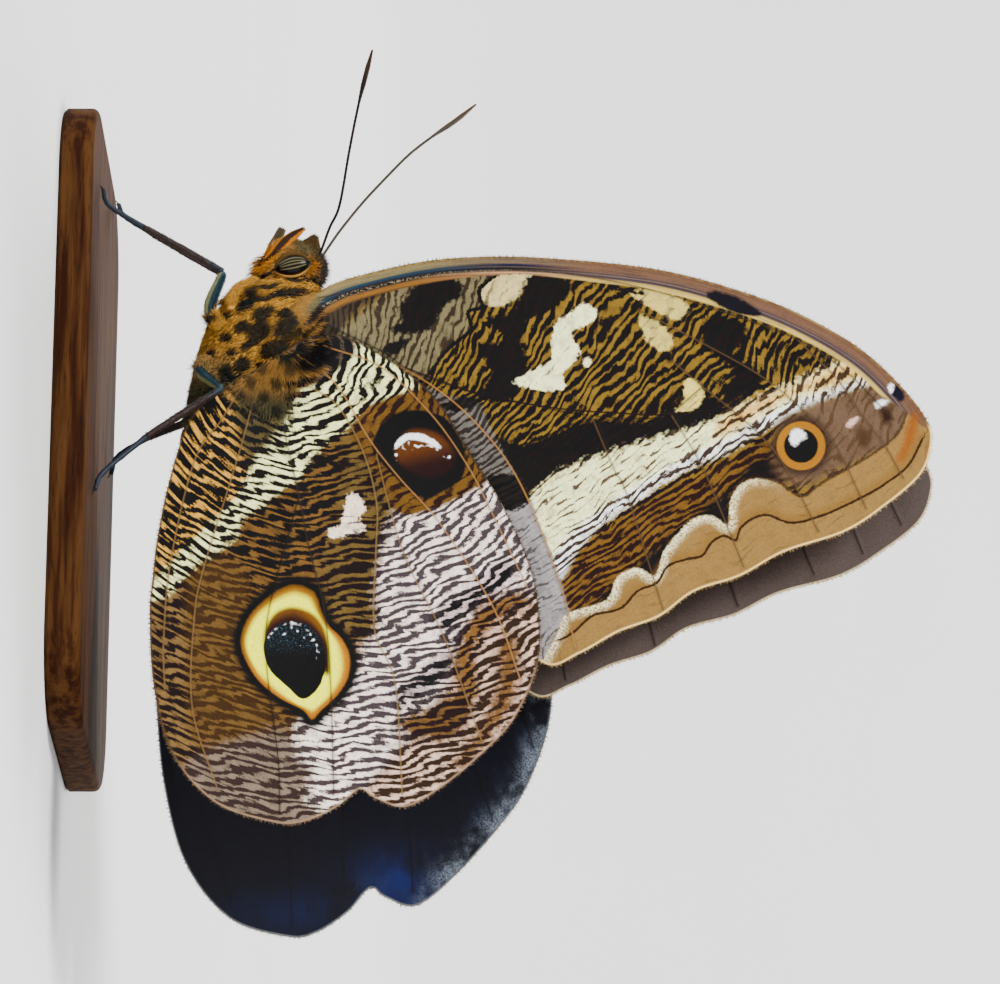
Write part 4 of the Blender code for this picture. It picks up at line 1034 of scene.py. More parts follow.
def new_object(name, verts, faces, material, loop_uv=None, smooth=True, sharp=None, **values):
    """One mesh from points in millimetres, its material, its baking map and the values kept on its points."""
    mesh = bpy.data.meshes.new(name)
    mesh.from_pydata((np.asarray(verts, float) * MM).tolist(), [], [tuple(map(int, f)) for f in faces])
    mesh.materials.append(material)
    for word, held in values.items():
        held = np.asarray(held, np.float32)
        if held.ndim == 1:
            mesh.attributes.new(word, "FLOAT", "POINT").data.foreach_set("value", held)
        else:
            full = np.hstack([held, np.ones((len(held), 1), np.float32)])
            mesh.attributes.new(word, "FLOAT_COLOR", "POINT").data.foreach_set("color", full.ravel())
    if loop_uv is not None:
        layer = mesh.uv_layers.new(name="OFBake")
        layer.data.foreach_set("uv", np.asarray(loop_uv, np.float32).ravel())
    mesh.polygons.foreach_set("use_smooth", [smooth] * len(mesh.polygons))
    if sharp is not None:
        mesh.set_sharp_from_angle(angle=math.radians(sharp))
    item = bpy.data.objects.new(name, mesh)
    bpy.context.scene.collection.objects.link(item)
    return item


def placed(item, slot, *nodes):
    """Rides on the one body and stands for the solids, which it hides. The slot is not used."""
    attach(item, "root")
    if nodes:
        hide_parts(*nodes)
    return item


def ring_faces(rings, sides, caps=True):
    """Faces that join rings of points, with a flat cap at each end."""
    faces = []
    for i in range(rings - 1):
        for k in range(sides):
            n = (k + 1) % sides
            faces.append((i * sides + k, i * sides + n, (i + 1) * sides + n, (i + 1) * sides + k))
    if caps:
        faces.append(tuple(reversed(range(sides))))
        faces.append(tuple(range((rings - 1) * sides, rings * sides)))
    return faces


def tube(points, sizes, sides=12, flat=1.0):
    """A closed tube along a path, with a size at each point of it: points, faces and angles."""
    points = np.asarray(points, float)
    verts = []
    angles = []
    for i, centre in enumerate(points):
        ahead = points[min(i + 1, len(points) - 1)] - points[max(i - 1, 0)]
        ahead /= np.linalg.norm(ahead)
        side = np.cross((0.0, 0.0, 1.0), ahead)
        side /= max(np.linalg.norm(side), 1e-9)
        up = np.cross(ahead, side)
        for k in range(sides):
            angle = 2 * math.pi * k / sides
            verts.append(centre + sizes[i] * (math.cos(angle) * side * flat + math.sin(angle) * up))
            angles.append(angle)
    return np.array(verts), ring_faces(len(points), sides), np.array(angles)


def sizes_along(points, radii):
    """The radii spread evenly along a path."""
    return np.interp(np.linspace(0, len(radii) - 1, len(points)), range(len(radii)), radii)


# Wings

def forewing_height(x, z):
    """Distance of the forewing's middle layer from the middle plane."""
    reach = np.hypot(x - FOREWING_ROOT[0], z - FOREWING_ROOT[1])
    return FOREWING_NEAR + FOREWING_SPREAD * reach + ROOT_SPREAD * np.exp(-(reach / ROOT_REACH) ** 2)


def hindwing_height(x, z):
    """The hindwing lies outside the forewing and flares away from it towards its lower edge."""
    down = (x - FLARE_ORIGIN[0]) * FLARE_DIRECTION[0] + (z - FLARE_ORIGIN[1]) * FLARE_DIRECTION[1]
    flare = FLARE * np.maximum(0.0, (down - FLARE_START) / FLARE_LENGTH) ** FLARE_POWER
    flank = np.hypot(x - FLANK_CENTRE[0], z - FLANK_CENTRE[1])
    return forewing_height(x, z) + LAYER + flare + FLANK_BULGE * np.exp(-(flank / FLANK_REACH) ** 2)


def wing_plan(costa, outer, inner, veins):
    """The flat points and triangles of one wing, with rows of points along its veins."""
    loop = smooth_path(costa + outer + inner + costa[:1], MARGIN_STEP)
    paths = {name: smooth_path(path, VEIN_STEP) for name, path in veins.items()}
    rows = []
    for path in paths.values():
        along = np.gradient(path, axis=0)
        across = np.stack([-along[:, 1], along[:, 0]], axis=1) / np.linalg.norm(along, axis=1)[:, None]
        rows += [path, path + VEIN_FOOT * across, path - VEIN_FOOT * across]
    rows = np.vstack(rows)
    rows = rows[depth(rows, loop) > 0.3]
    low, high = loop.min(0), loop.max(0)
    grid = []
    for row, z in enumerate(np.arange(low[1], high[1], FILL_STEP * 0.87)):
        x = np.arange(low[0] + (row % 2) * FILL_STEP / 2, high[0], FILL_STEP)
        grid.append(np.stack([x, np.full(len(x), z)], axis=1))
    grid = np.vstack(grid)
    near_vein = np.min([distance(grid, path) for path in paths.values()], axis=0)
    grid = grid[(depth(grid, loop) > 0.28) & (near_vein > VEIN_FOOT + 0.24)]
    points = np.vstack([loop[:-1], rows, grid])
    count = len(loop) - 1
    edges = [(i, (i + 1) % count) for i in range(count)]
    flat, _, triangles, *_ = delaunay_2d_cdt([Vector(p) for p in points], edges, [], 0, 1e-6)
    flat = np.array([tuple(p) for p in flat])
    triangles = np.array(triangles)
    triangles = triangles[inside(flat[triangles].mean(1), loop)]
    reach = np.array([distance(flat, path) for path in paths.values()])
    return {
        "flat": flat,
        "triangles": triangles,
        "loop": loop,
        "veins": list(paths),
        "vein": reach.min(0),
        "nearest": reach.argmin(0),
        "rim": distance(flat, loop),
        "outer": distance(flat, smooth_path(outer, 0.8)),
        "front": distance(loop[:-1], smooth_path(costa, 0.8)),
    }


def rim_edges(triangles):
    """The directed edges that only one triangle uses."""
    sides = np.vstack([triangles[:, [0, 1]], triangles[:, [1, 2]], triangles[:, [2, 0]]])
    known = {tuple(e) for e in sides.tolist()}
    return [(a, b) for a, b in sorted(known) if (b, a) not in known]


def cell_wave(plan):
    """A slight sag of the membrane between its veins."""
    return -CELL_WAVE * np.clip(plan["vein"] / 3.0, 0, 1) * step_up(plan["rim"], 0.0, 2.0)


def set_out(points, root, stretch, turn):
    """Flat points stretched from the root and turned about it, the tip towards the tail."""
    c, s = math.cos(math.radians(turn)), math.sin(math.radians(turn))
    return np.array(root) + stretch * (points - np.array(root)) @ np.array(((c, s), (-s, c)))


def wing_unwrap(plan, flat):
    """Places on the unwrap of a wing's own flat shape."""
    low, high = plan["flat"].min(0), plan["flat"].max(0)
    return UV_EDGE + UV_SPAN * (flat - low)[:, ::-1] / (high - low).max()


def wing_places(flat, height, side=1):
    """Where a wing's flat points fall in the picture's frame, in pixels."""
    x, z = flat.T
    return frame_place(np.stack([x, side * height(x, z), z], axis=1))


def wing_layer(name, plan, height, side, face, material, values, place):
    """One of the two closed layers of a wing. The face is 1 for the under side and -1 for the upper side."""
    flat = set_out(plan["flat"], *place)
    x, z = flat.T
    middle = side * height(x, z)
    wave = face * cell_wave(plan)
    lift = SHEET_OUTER + VEIN_RELIEF * np.clip(1 - plan["vein"] / VEIN_FOOT, 0, 1) ** 0.7 + wave
    out = side * face
    front = np.stack([x, middle + out * lift, z], axis=1)
    back = np.stack([x, middle + out * (SHEET_INNER + wave), z], axis=1)
    triangles = plan["triangles"] if out > 0 else plan["triangles"][:, ::-1]
    if np.cross(*(front[triangles[0, 1:]] - front[triangles[0, 0]]))[1] * out < 0:
        triangles = triangles[:, ::-1]
    count = len(flat)
    rim = rim_edges(triangles)
    faces = triangles.tolist() + (triangles[:, ::-1] + count).tolist()
    faces += [(b, a, count + a, count + b) for a, b in rim]
    flat_uv = wing_unwrap(plan, plan["flat"])
    span = np.ptp(plan["flat"], axis=0)
    tall = UV_SPAN * span[0] / span.max()
    back_uv = np.array((UV_EDGE, tall + 2 * UV_EDGE)) + (flat_uv - UV_EDGE) * (1 - 3 * UV_EDGE - tall)
    edge_uv = flat_uv + PATCH * unit(flat_uv - flat_uv.mean(0))
    a, b = np.array(rim).T
    rim_uv = np.stack([flat_uv[b], flat_uv[a], edge_uv[a], edge_uv[b]], axis=1)
    parts = flat_uv[triangles], back_uv[triangles[:, ::-1]], rim_uv
    loop_uv = np.vstack([part.reshape(-1, 2) for part in parts])
    both = {word: np.concatenate([held, held]) for word, held in values.items()}
    return new_object(name, np.vstack([front, back]), faces, material, loop_uv, sharp=50, **both)


def shared_values(plan, tints, usual):
    """What every wing mesh keeps: the reach to its nearest vein and margin, and the vein's colour."""
    tone = np.array([colour(tints.get(name, usual)) for name in plan["veins"]])
    return {"vein": plan["vein"], "rim": plan["rim"], "vein_tint": tone[plan["nearest"]]}


def ripple_values(plan, root, pull):
    """The ripples' own frame: how many ripples out from the root, and how far across them."""
    offset = plan["flat"] - np.array(root)
    reach = np.hypot(*offset.T)
    angle = np.arctan2(offset[:, 0], offset[:, 1])
    bow = 0.22 * np.clip(plan["vein"], 0, 2.5)
    if pull:
        share = reach / (reach + plan["outer"])
        margin = np.array(FOREWING_OUTER[-1]) - np.array(FOREWING_OUTER[0])
        margin = margin / np.linalg.norm(margin)
        across = (1 - share) * angle * reach - share * (plan["flat"] @ margin)
        return {"ripple": (pull * share + bow) / RIPPLE, "across": across}
    return {"ripple": (reach + bow) / RIPPLE, "across": angle * reach}


def dots_depth(spots, dots):
    """Distance inside the nearest of many round dots."""
    return np.max([r - np.hypot(*(spots - (x, y)).T) for x, y, r in dots], axis=0)


def hindwing_under(plan):
    """Everything that the hindwing's under side keeps on its points."""
    spots = wing_places(plan["flat"], hindwing_height)
    values = shared_values(plan, HINDWING_VEIN_TINTS, (154, 118, 72))
    values.update(ripple_values(plan, HINDWING_ROOT, 0))
    for name, *_, outline in HINDWING_FIELDS:
        values[name] = depth(spots, smooth_loop(outline, 6))
    for name, outline in (("oval_rim", OVAL_RIM), ("oval_heart", OVAL_HEART), ("oval_glint", OVAL_GLINT),
                          ("ring_crescent", RING_CRESCENT), ("ring_amber", RING_AMBER)):
        values[name] = depth(spots, smooth_loop(outline, 3))
    values["oval_low"] = step_up(spots[:, 1] + 0.25 * (spots[:, 0] - OVAL_MIDDLE), *OVAL_SHADE)
    rim = depth(spots, smooth_loop(RING_RIM, 3))
    pupil = depth(spots, smooth_loop(RING_PUPIL, 3))
    ring = np.where(rim < 0, rim / 10.0, np.where(pupil < 0, rim / (rim - pupil + 1e-9), 1 + pupil / 12.0))
    values["ring"] = np.clip(ring, -2.0, 2.0)
    values["ring_sheen"] = RING_SHEEN_END - spots[:, 1]
    values["dots"] = dots_depth(spots, OVAL_DOTS + RING_DOTS)
    low = step_up(spots[:, 1], *RIM_PALER)[:, None]
    left = step_up(RIM_BROWNER - spots[:, 0], 0, 30)[:, None]
    lower = turned(low, colour((70, 54, 40)), colour((178, 152, 124)))
    values["rim_tint"] = turned(left, lower, colour((104, 74, 52)))
    return values


def forewing_under(plan):
    """Everything that the forewing's under side keeps on its points."""
    spots = wing_places(plan["flat"], forewing_height)
    values = shared_values(plan, FOREWING_VEIN_TINTS, (112, 80, 52))
    values.update(ripple_values(plan, FOREWING_ROOT, 86.0))
    for name, *_, outline in FOREWING_FIELDS + [BUFF_FIELD] + SILVER_FIELDS:
        values[name] = depth(spots, smooth_loop(outline, 6))
    for name, *_, outline in APEX_MARKS:
        values[name] = depth(spots, smooth_loop(outline, 3))
    values["cell_line"] = signed(spots, smooth_path(CELL_LINE, 4))
    values["fold_line"] = signed(spots, smooth_path(FOLD_LINE, 4))
    values["margin_line"] = signed(spots, smooth_path(MARGIN_LINE, 4))
    values["frosted"] = step_up(MARGIN_FROST_END - spots[:, 0], 0, 60)
    values["spot"] = SPOT_RING - np.hypot(*(spots - SPOT_CENTRE).T)
    values["spot_glint"] = depth(spots, smooth_loop(SPOT_GLINT, 2))
    values["costa"] = distance(plan["flat"], smooth_path(FOREWING_COSTA, 0.8)) / PIXEL
    values["costa_along"] = spots[:, 0]
    values["costa_end"] = np.interp(spots[:, 0], *zip(*COSTA_WIDTHS))
    edge = step_up(6.0 - values["costa"], 0, 3.0)[:, None]
    values["rim_tint"] = turned(edge, colour((222, 206, 178)), colour((136, 94, 44)))
    return values


def upper_values(plan, root, vein_tone):
    """What both upper sides keep on their points."""
    values = shared_values(plan, {}, vein_tone)
    offset = plan["flat"] - np.array(root)
    reach = np.hypot(*offset.T)
    values["outward"] = reach / (reach + plan["rim"])
    values["round"] = 30.0 * np.arctan2(offset[:, 0], offset[:, 1])
    return values


def forewing_upper(plan):
    """The forewing's upper side has a paler margin and no frost."""
    count = len(plan["flat"])
    values = upper_values(plan, FOREWING_ROOT, (46, 32, 34))
    values["patch"] = 0.5 * step_up(plan["rim"], 8.0, 2.0)
    values["frost"] = np.zeros(count)
    values["frost_share"] = np.zeros(count)
    values["frost_tint"] = np.tile(colour((150, 140, 130)), (count, 1))
    return values


def hindwing_upper(plan):
    """Blue patches and frost at the margin, placed on the far wing, which shows them."""
    spots = wing_places(set_out(plan["flat"], *FAR_SETS["hindwing"]), hindwing_height, -1)
    values = upper_values(plan, HINDWING_ROOT, (16, 18, 30))
    blue = np.zeros(len(spots))
    for x, y, wide, tall, strength in BLUE_PATCHES:
        blue += strength * np.exp(-(np.hypot((spots[:, 0] - x) / wide, (spots[:, 1] - y) / tall)) ** 2)
    values["patch"] = np.clip(blue, 0, 1)
    rim = plan["rim"]
    values["frost"] = step_up(rim, 8.0, 0.3)
    values["frost_share"] = step_up(spots[:, 0], *UPPER_FROST) * (0.4 + 0.6 * step_up(3.5 - rim, 0, 3.3))
    pale = step_up(spots[:, 0], *UPPER_PALE) * step_up(3.5 - rim, 0, 3.0)
    values["frost_tint"] = turned(pale[:, None], colour((70, 90, 126)), colour((170, 176, 184)))
    return values


def wing_fringe(name, plan, height, side, place, material, tones):
    """Short scales that stand out all along the margin."""
    loop = plan["loop"][:-1]
    along = np.roll(loop, -1, axis=0) - np.roll(loop, 1, axis=0)
    out = np.stack([along[:, 1], -along[:, 0]], axis=1) / np.linalg.norm(along, axis=1)[:, None]
    if inside(loop[:1] + 0.2 * out[:1], plan["loop"])[0]:
        out = -out
    count = FRINGE_ROWS * len(loop)
    pick = np.arange(count) % len(loop)
    shift = random.uniform(0, 1, (count, 1))
    flat = loop[pick] * (1 - shift) + loop[(pick + 1) % len(loop)] * shift - 0.12 * out[pick]
    kept = np.hypot(*(flat - loop[0]).T) > 6.0
    flat, pick = flat[kept], pick[kept]
    count = len(flat)
    spots = set_out(flat, *place)
    ahead = set_out(flat + out[pick] + 0.35 * random.normal(size=(count, 2)), *place) - spots
    x, z = spots.T
    level = side * (height(x, z) + random.uniform(-SHEET_OUTER, SHEET_OUTER, count))
    roots = np.stack([x, level, z], axis=1)
    ways = np.stack([ahead[:, 0], 0.15 * random.normal(size=count), ahead[:, 1]], axis=1)
    normals = np.tile((0.0, float(side), 0.0), (count, 1))
    share = random.random((count, 1))
    inner, outer, leading = map(colour, tones)
    front = step_up(0.5 - plan["front"][pick], 0, 0.3)[:, None]
    held = turned(front, turned(share, inner, outer), leading)
    sizes = random.uniform(0.3, 0.55, count)
    uv = wing_unwrap(plan, flat)
    return tufts(name, roots, normals, ways, sizes, np.full(count, 0.05), held, uv, material, 0.04)


def wing_hair(name, plan, kind, height, side, place, material):
    """Fine hair that lies outward over both faces of a wing's root."""
    root = np.array(FOREWING_ROOT if kind == "forewing" else HINDWING_ROOT)
    reach = np.hypot(*(plan["flat"] - root).T)
    chance = step_up(ROOT_HAIR[kind] - reach, 0, 0.6 * ROOT_HAIR[kind]) * (plan["rim"] > 0.25)
    if kind == "hindwing":
        seen = wing_places(plan["flat"], height)
        chance *= np.clip(step_up(HINDWING_HAIR_END - seen[:, 0], 0, 30) + 0.3 * (reach < 5.0), 0, 1)
    count = TUFTS["wing"]
    pick = random.choice(len(chance), count, p=chance / chance.sum())
    flat = plan["flat"][pick] + 0.25 * random.normal(size=(count, 2))
    spots = set_out(flat, *place)
    x, z = spots.T
    face = np.where(random.random(count) < 0.65, 1.0, -1.0)
    roots = np.stack([x, side * (height(x, z) + face * SHEET_OUTER), z], axis=1)
    normals = np.stack([np.zeros(count), side * face, np.zeros(count)], axis=1)
    strewn = 0.12 * reach[pick][:, None] * random.normal(size=(count, 2))
    away = set_out(flat + (flat - root) + strewn, *place) - spots
    ways = unit(np.stack([away[:, 0], np.zeros(count), away[:, 1]], axis=1)) + 0.12 * normals
    held = root_hair_tone(wing_places(flat, height), kind) * random.uniform(0.75, 1.25, (count, 1))
    sizes = random.uniform(0.7, 1.5, count) * np.clip(1.3 - 0.5 * reach[pick] / ROOT_HAIR[kind], 0.4, 1.3)
    uv = wing_unwrap(plan, flat)
    return tufts(name, roots, normals, ways, sizes, np.full(count, 0.035), held, uv, material, 0.04)


def root_hair_tone(spots, kind):
    """Orange next to the body, dusky olive further out, and near black on the hindwing's shoulder."""
    fade = step_up(spots[:, 1 if kind == "hindwing" else 0], *ROOT_HAIR_FADE[kind])
    tone = turned(fade[:, None], colour((184, 148, 88)), colour((112, 102, 72)))
    for mark, screen in SHOULDER_MARKS:
        tone = turned(spot_cover(spots, mark)[:, None], tone, colour(screen))
    if kind == "hindwing":
        patch = 0.5 + 0.5 * np.sin(spots[:, 0] / 3.6) * np.sin(spots[:, 1] / 4.6 + 1.0)
        tone = turned(0.75 * step_up(patch, 0.5, 0.75)[:, None], tone, colour((40, 44, 44)))
    return tone


def spot_cover(spots, mark):
    """Cover of a long soft spot at places in the frame. The spot is its middle, half sizes and turn."""
    cx, cy, wide, tall, turn = mark
    a = math.radians(turn)
    dx, dy = (spots - (cx, cy)).T
    along, across = dx * math.cos(a) + dy * math.sin(a), -dx * math.sin(a) + dy * math.cos(a)
    return step_up(1.2 - np.hypot(along / wide, across / tall), 0, 0.4)


def build_wings(hair):
    """Both layers of the four wings, the fringe along their margins and the hair at their roots."""
    paints = {
        "forewing_under": forewing_paint(),
        "hindwing_under": hindwing_paint(),
        "forewing_upper": upper_paint("forewing_upper", *FOREWING_UPPER),
        "hindwing_upper": upper_paint("hindwing_upper", *HINDWING_UPPER),
    }
    plans = {
        "forewing": wing_plan(FOREWING_COSTA, FOREWING_OUTER, FOREWING_INNER, FOREWING_VEINS),
        "hindwing": wing_plan(HINDWING_COSTA, HINDWING_OUTER, HINDWING_INNER, HINDWING_VEINS),
    }
    heights = {"forewing": forewing_height, "hindwing": hindwing_height}
    held = {
        "forewing_under": forewing_under(plans["forewing"]),
        "hindwing_under": hindwing_under(plans["hindwing"]),
        "forewing_upper": forewing_upper(plans["forewing"]),
        "hindwing_upper": hindwing_upper(plans["hindwing"]),
    }
    for word, side in SIDES:
        for kind in ("forewing", "hindwing"):
            node, slot = kind + "_" + word, kind + "s"
            plan, height = plans[kind], heights[kind]
            place = NEAR_SET if side > 0 else FAR_SETS[kind]
            for part, face in (("_under", 1), ("_upper", -1)):
                key = kind + part
                item = wing_layer(node + part, plan, height, side, face, paints[key], held[key], place)
                placed(item, slot, node)
            placed(wing_fringe(node + "_fringe", plan, height, side, place, hair, FRINGE[kind]), slot)
            placed(wing_hair(node + "_root_hair", plan, kind, height, side, place, hair), slot)


# Body

def bump_out(radius, ring, angle, bump, side):
    """The reach from a ring's middle out to a bulge on the body's flank, where that is further."""
    x, middle = ring[0], ring[1]
    (cx, cy, cz), (rx, ry, rz) = bump["centre"], bump["radii"]
    width = 1 - ((x - cx) / rx) ** 2
    if width <= 0:
        return radius
    width = math.sqrt(width)
    c, s = math.cos(angle) / (ry * width), math.sin(angle) / (rz * width)
    p, q = -side * cy / (ry * width), (middle - cz) / (rz * width)
    a, b, k = c * c + s * s, 2 * (c * p + s * q), p * p + q * q - 1
    if b * b < 4 * a * k:
        return radius
    return max(radius, (-b + math.sqrt(b * b - 4 * a * k)) / (2 * a))


def skin_points():
    """The body's skin, ring by ring, from the tip of the abdomen to the face."""
    rings = smooth_path(BODY_RINGS, RING_STEP)
    grid = np.zeros((len(rings), SKIN_SIDES, 3))
    for i, ring in enumerate(rings):
        x, middle, half_width, half_height = ring
        segment = SEGMENT_DEPTH * (0.5 + 0.5 * math.cos(2 * math.pi * x / SEGMENT_LENGTH)) if x < 3 else 0.0
        for k in range(SKIN_SIDES):
            angle = 2 * math.pi * k / SKIN_SIDES
            y, z = half_width * math.cos(angle), half_height * math.sin(angle)
            radius = math.hypot(y, z) - segment
            turn = math.atan2(z, y)
            for side in (1, -1):
                radius = bump_out(radius, ring, turn, SHOULDER, side)
            grid[i, k] = (x, radius * math.cos(turn), middle + radius * math.sin(turn))
    return grid


def body_tone(points):
    """The body's colours: orange hair with dark spots, a striped head and a banded abdomen."""
    x, y, z = points.T
    y = np.abs(y)
    spots = frame_place(np.stack([x, y, z], axis=1))
    height = z - np.interp(x, [r[0] for r in BODY_RINGS], [r[1] for r in BODY_RINGS])
    tone = np.tile(colour((202, 168, 102)), (len(points), 1))

    def lay(cover, screen):
        nonlocal tone
        tone = turned(np.clip(cover, 0, 1)[:, None], tone, colour(screen))

    across, down = spots.T
    lay(step_up(down, *BREAST_PALER) * step_up(BREAST_PALER_END - across, 0, 50), (178, 154, 112))
    lay(step_up(down, *BREAST_GREYER), (112, 104, 76))
    lay(0.8 * step_up(x, -2, 4) * step_up(height, 3.2, 5.6), (60, 46, 34))
    back = step_up(3.0 - x, 0, 4.0)
    lay(back, (176, 156, 116))
    lay(back * step_up(height, 0.2, 1.6), (66, 50, 38))
    lay(0.55 * back * (0.5 + 0.5 * np.cos(2 * math.pi * x / SEGMENT_LENGTH)) ** 3, (48, 36, 26))
    head = step_up(x, 20.6, 21.4)
    lay(head, (192, 152, 94))
    lay(head * spot_cover(spots, CHEEK), (206, 158, 84))
    lay(head * spot_cover(spots, CHEEK_LINE), (66, 48, 36))
    crown = step_up(across - 0.4 * (down - CROWN_LEVEL), *CROWN_TURN) * step_up(CROWN_END - down, 0, 8)
    lay(head * crown, (134, 116, 78))
    lay(head * step_up(across, *CROWN_TIP), (76, 68, 58))
    lay(spot_cover(spots, ANTENNA_SPOT), (206, 156, 82))
    flank = step_up(y, 0.4, 1.4)
    for mark, screen in [(mark, SPOT_TONE) for mark in BODY_SPOTS] + SHOULDER_MARKS:
        lay(0.95 * spot_cover(spots, mark) * flank, screen)
    return tone


def skin_faces(grid):
    """The skin's faces and their places on its unwrap, with the two caps at the sides of it."""
    rings, sides = grid.shape[:2]
    faces = ring_faces(rings, sides)
    uv = []
    for i in range(rings - 1):
        for k in range(sides):
            for a, b in ((i, k), (i, k + 1), (i + 1, k + 1), (i + 1, k)):
                uv.append((UV_EDGE + UV_SPAN * a / (rings - 1), UV_EDGE + UV_SPAN * b / sides))
    for i, order in ((0, list(reversed(range(sides)))), (rings - 1, list(range(sides)))):
        place = 0.01 if i == 0 else 0.99
        for k in order:
            angle = 2 * math.pi * k / sides
            uv.append((place + 0.004 * math.cos(angle), 0.5 + 0.2 * math.sin(angle)))
    return faces, uv


def scatter(grid, count, keep):
    """Roots spread evenly over the skin, with their normals and their places on its unwrap."""
    rings, sides = grid.shape[:2]
    a, b = grid[:-1], grid[1:]
    a2, b2 = np.roll(a, -1, axis=1), np.roll(b, -1, axis=1)
    normal = np.cross(a2 - a, b - a)
    area = np.linalg.norm(normal, axis=2)
    area = area * keep((a + b2) / 2)
    chosen = random.choice(area.size, count, p=(area / area.sum()).ravel())
    i, k = np.unravel_index(chosen, area.shape)
    s, t = random.random((2, count, 1))
    roots = (a[i, k] * (1 - s) + b[i, k] * s) * (1 - t) + (a2[i, k] * (1 - s) + b2[i, k] * s) * t
    normals = unit(normal[i, k])
    middle = np.interp(roots[:, 0], grid[:, 0, 0], grid.mean(1)[:, 2])
    centre = np.stack([roots[:, 0], np.zeros(count), middle], axis=1)
    flip = np.sum(normals * (roots - centre), axis=1) < 0
    normals[flip] *= -1
    uv = UV_EDGE + UV_SPAN * np.stack([(i + s[:, 0]) / (rings - 1), (k + t[:, 0]) / sides], axis=1)
    return roots, normals, uv


def tufts(name, roots, normals, lie, length, width, tones, uv, material, lift=0.18, tip=1.25):
    """Thin tapered tufts as one mesh. Each bends over and lies along the given direction. Its colour is
    darkened at the root as painted shade among the hair, and raised at the tip by the tip factor: a painted
    highlight at the usual 1.25, and pale tips where the factor is larger.
    """
    count = len(roots)
    lie = unit(lie)
    side = unit(np.cross(lie, normals))
    length = length[:, None]
    width = width[:, None]
    first = roots - 0.06 * normals
    middle = roots + length * (0.5 * lie + lift * normals)
    last = roots + length * (1.0 * lie + 0.7 * lift * normals)
    verts = np.stack([
        first - width * side, first + width * side, first + 0.8 * width * normals,
        middle - 0.7 * width * side, middle + 0.7 * width * side, middle + 0.5 * width * normals,
        last,
    ], axis=1).reshape(-1, 3)
    one = [(0, 1, 4, 3), (1, 2, 5, 4), (2, 0, 3, 5), (3, 4, 6), (4, 5, 6), (5, 3, 6), (0, 2, 1)]
    faces = [tuple(7 * i + v for v in face) for i in range(count) for face in one]
    reach = PATCH / 2
    spots = reach * np.array([(-1, -1), (1, -1), (0, -1), (-1, 0), (1, 0), (0, 0), (0, 1)])
    order = [v for face in one for v in face]
    loop_uv = (uv[:, None, :] + spots[order][None, :, :]).reshape(-1, 2)
    # Painted shade at each tuft's root and a painted highlight at its tip; a larger tip factor gives pale
    # tips instead
    shade = np.array((0.72, 0.72, 0.72, 1.0, 1.0, 1.0, tip))
    tint = np.clip(tones[:, None, :] * shade[None, :, None], 0, 0.95).reshape(-1, 3)
    return new_object(name, verts, faces, material, loop_uv, tint=tint)


def coat(name, grid, count, keep, way, lift, length, width, material, spread):
    """Hair that lies one way, a little off the skin, on the part that the keep function allows."""
    roots, normals, uv = scatter(grid, count, keep)
    ways = np.array(way) + lift * normals + spread * random.normal(size=(count, 3))
    ways -= np.sum(ways * normals, axis=1)[:, None] * normals * 0.85
    sizes = length * random.uniform(0.7, 1.25, count)
    tones = body_tone(roots) * random.uniform(0.55, 1.45, (count, 1))
    widths = width * random.uniform(0.6, 1.9, count)
    return tufts(name, roots, normals, ways, sizes, widths, tones, uv, material)


def between(low, high):
    """A function that keeps the skin between two places along X."""
    return lambda middle: ((middle[..., 0] > low) & (middle[..., 0] < high)).astype(float)


def clear_of_palp(middle, gap):
    """Whether places on the skin are further than the gap from the near palp."""
    palp = smooth_path(PALP_LEFT, 0.3)
    return np.min([np.linalg.norm(middle - point, axis=-1) for point in palp], axis=0) > gap


def head_keep(middle):
    """The head's skin apart from the eyes and the near palp."""
    across, along = eye_place(middle)
    clear = (np.abs(across) > 1.2 * lens_width(along)) | (np.abs(middle[..., 1]) < 1.3)
    return between(20.7, 26.45)(middle) * clear * clear_of_palp(middle, 0.75)


def build_body(hair):
    """One skin over head, thorax and abdomen, and the coat on it."""
    grid = skin_points()
    faces, uv = skin_faces(grid)
    verts = grid.reshape(-1, 3)
    finish = tinted_paint("skin_hair", 0.8, 0.25, 5.0)
    skin = new_object("body_skin", verts, faces, finish, uv, tint=body_tone(verts))
    placed(skin, "body", "head", "thorax", "abdomen")
    thorax, abdomen = between(4.0, 21.2), between(-23.6, 4.6)
    for name, keep, way, lift, length, width, spread in (
            ("thorax_coat_1", thorax, (-0.6, 0.0, -0.8), 0.15, 1.2, 0.05, 0.25),
            ("thorax_coat_2", thorax, (-0.6, 0.0, -0.8), 0.15, 1.2, 0.05, 0.25),
            ("head_coat", head_keep, (0.25, 0.0, 0.15), 0.5, 0.7, 0.035, 0.3),
            ("abdomen_coat", abdomen, (-1.0, 0.0, -0.25), 0.15, 0.8, 0.045, 0.25)):
        count = TUFTS[name.split("_")[0]]
        placed(coat(name, grid, count, keep, way, lift, length, width, hair, spread), "body")
    build_beard(grid, hair)
    build_brow(grid, hair)
    build_crown(grid, hair)


def build_beard(grid, hair):
    """Longer hair that hangs between head and breast."""
    def keep(middle):
        x, z = middle[..., 0], middle[..., 2]
        return (x > 18.2) & (x < 24.6) & (z < 24.6) & clear_of_palp(middle, 0.8)

    roots, normals, uv = scatter(grid, TUFTS["beard"], keep)
    ways = np.array((-0.75, 0.0, -0.85)) + 0.5 * normals + 0.15 * random.normal(size=roots.shape)
    sizes = random.uniform(1.2, 2.3, len(roots)) * (0.55 + 0.45 * step_up(24.6 - roots[:, 2], 0, 2.0))
    tones = body_tone(roots) * random.uniform(0.6, 1.4, (len(roots), 1))
    widths = random.uniform(0.03, 0.07, len(roots))
    placed(tufts("beard_tuft", roots, normals, ways, sizes, widths, tones, uv, hair), "body")


